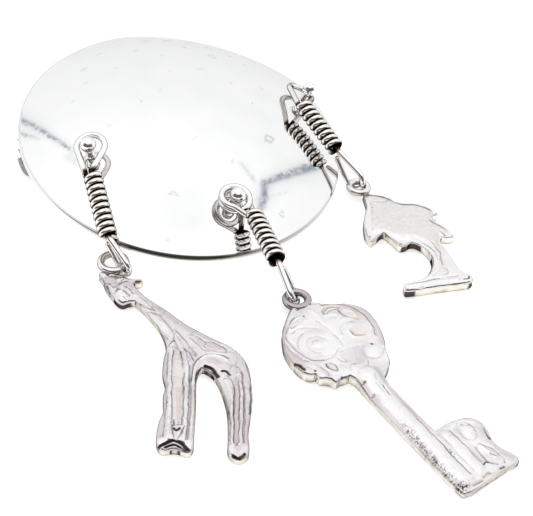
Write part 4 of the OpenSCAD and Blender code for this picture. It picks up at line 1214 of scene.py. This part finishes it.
def pale_floor():
    """A white surface that glows a little, as an overexposed one does."""
    f = Finish("pale_floor", Roughness=0.85, Emission_Color=(1, 1, 1, 1), Emission_Strength=0.5)
    f.feed("Base Color", f.mix(f.noise(0.02), (0.92, 0.92, 0.92), (0.9, 0.9, 0.9)))
    return f.material


# ---- floor, light and camera ----

# Half the floor's side and its height just under the object, in metres
FLOOR_HALF = 0.6
FLOOR_Z = -2e-5

# The left seam of the tent: its direction in degrees, from which its neighbours are measured
LEFT_SEAM = -42.2
SEAM_COLOUR = (0.07, 0.1, 0.16)
GLOW_COLOUR = (0.5, 0.55, 0.62)

CAMERA_AT = (2.486, -128.925, 113.889)
CAMERA_UP = 42.0
CAMERA_ROLL = 6.0
FOCAL_PX = 1300.0
PICTURE_W = 533
SENSOR_W = 36.0


def floor():
    """One square under the object."""
    mesh = bpy.data.meshes.new("floor")
    corners = [(x * FLOOR_HALF, y * FLOOR_HALF, FLOOR_Z) for x, y in ((-1, -1), (1, -1), (1, 1), (-1, 1))]
    mesh.from_pydata(corners, [], [(0, 1, 2, 3)])
    o = bpy.data.objects.new("floor", mesh)
    bpy.context.scene.collection.objects.link(o)
    mesh.materials.append(pale_floor())
    o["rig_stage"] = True


def light():
    """A white tent seen from inside: brighter overhead, with a soft grey patch there, dim behind the
    camera, with blue-grey seams at each side. All of it is a function of the direction alone."""
    world = bpy.data.worlds.new("studio")
    bpy.context.scene.world = world
    f = Finish("studio", owner=world)
    way = f.node("ShaderNodeTexCoord", out="Generated")
    axes = f.tree.nodes.new("ShaderNodeSeparateXYZ")
    f.tree.links.new(way.socket, axes.inputs[0])
    x, y, z = [Value(f, axes.outputs[k]) for k in range(3)]
    round_it = f.node("ShaderNodeMath", {"operation": "ARCTAN2"}, {0: x, 1: y}) * (180 / math.pi)
    height = f.node("ShaderNodeMath", {"operation": "ARCSINE"}, {0: z}) * (180 / math.pi)
    cloth = f.noise(60.0, roughness=0.7, vector=way)
    soft = f.noise(6.0, detail=2.0, vector=way)
    uneven = (cloth - 0.5) * 6.0

    lift = f.node("ShaderNodeMapRange", {}, {"Value": z, "From Min": 0.5, "From Max": 0.98})
    colour = f.mix(lift * lift, (0.995, 1.0, 1.0), (1.2, 1.2, 1.2))
    patch = f.stepped((x - 0.17) * (x - 0.17) + (y - 0.08) * (y - 0.08), 0.05, 0.002)
    colour = f.mix(patch * 0.4, colour, (0.8, 0.81, 0.83))
    colour = f.mix(f.stepped(soft, 0.42, 0.66) * 0.06, colour, (0.62, 0.66, 0.7))
    room = f.stepped(y, -0.12, -0.5) * f.stepped(z, 0.84, 0.6)
    colour = f.mix(room, colour, (0.13, 0.11, 0.095))

    # Seams: degrees across, half width, degrees along with start and end, and how dark
    for across, half, along, start, end, depth in (
            (round_it - (LEFT_SEAM + (height - 33) * -0.11), 0.6, height, 24, 58, 0.95),
            (round_it - (LEFT_SEAM - 5.0 + (height - 33) * 0.02), 0.4, height, 26, 46, 0.75),
            (round_it - (LEFT_SEAM - 6.0), 3.0, height, 54, 70, 0.2),
            (round_it - (43 + (height - 29) * 0.36), 1.25, height, 26, 53, 0.95),
            (height - (51 + (round_it - 51) * 0.3), 1.0, round_it, 48, 68, 0.95),
            (height - 54, 0.4, round_it, 36, 52, 0.4),
            (round_it - (58 + (height - 50) * 0.5), 0.35, height, 42, 60, 0.3)):
        line = f.stepped(f.absolute(across + uneven), half * 1.7, half * 0.5)
        ends = f.stepped(along, start, start + 4) * f.stepped(along, end, end - 4)
        worn = f.stepped(cloth, 0.36, 0.56) * depth
        colour = f.mix(line * ends * worn, colour, SEAM_COLOUR)
        glow = f.stepped(f.absolute(across), half * 6, 0) * ends
        colour = f.mix(glow * (0.25 * depth), colour, GLOW_COLOUR)
    f.feed("Color", colour)
    bpy.context.scene.view_settings.view_transform = "Standard"


def camera():
    """Looks along +y, CAMERA_UP above the floor, turned CAMERA_ROLL about its own line of sight."""
    e, r = math.radians(CAMERA_UP), math.radians(CAMERA_ROLL)
    back = vec(0, -math.cos(e), math.sin(e))
    level, level_up = vec(1, 0, 0), vec(0, math.sin(e), math.cos(e))
    right = math.cos(r) * level + math.sin(r) * level_up
    up = -math.sin(r) * level + math.cos(r) * level_up
    data = bpy.data.cameras.new("camera")
    data.sensor_width = SENSOR_W
    data.lens = SENSOR_W * FOCAL_PX / PICTURE_W
    data.clip_start, data.clip_end = 0.01, 10
    o = bpy.data.objects.new("camera", data)
    bpy.context.scene.collection.objects.link(o)
    m = np.eye(4)
    m[:3] = np.stack([right, up, back, np.array(CAMERA_AT) * MM], -1)
    o.matrix_world = Matrix(m.tolist())
    bpy.context.scene.camera = o


def finishes():
    """Each piece gets the finish that its slot names."""
    made = {
        "polished_silver": polished_silver(), "wire_silver": wire_silver(),
        "cast_silver": cast_silver(), "pin_silver": pin_silver(),
    }
    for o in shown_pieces():
        name = o.get("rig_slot")
        if name:
            o.data.materials.clear()
            o.data.materials.append(made[name])


camera()
floor()
light()
dome()
posts()
finding("joint", JOINT_X, JOINT_R, JOINT_W, False)
finding("catch", CATCH_X, CATCH_R, CATCH_W, True)
pin()
for name in LINKS:
    link(name)
charms()
finishes()
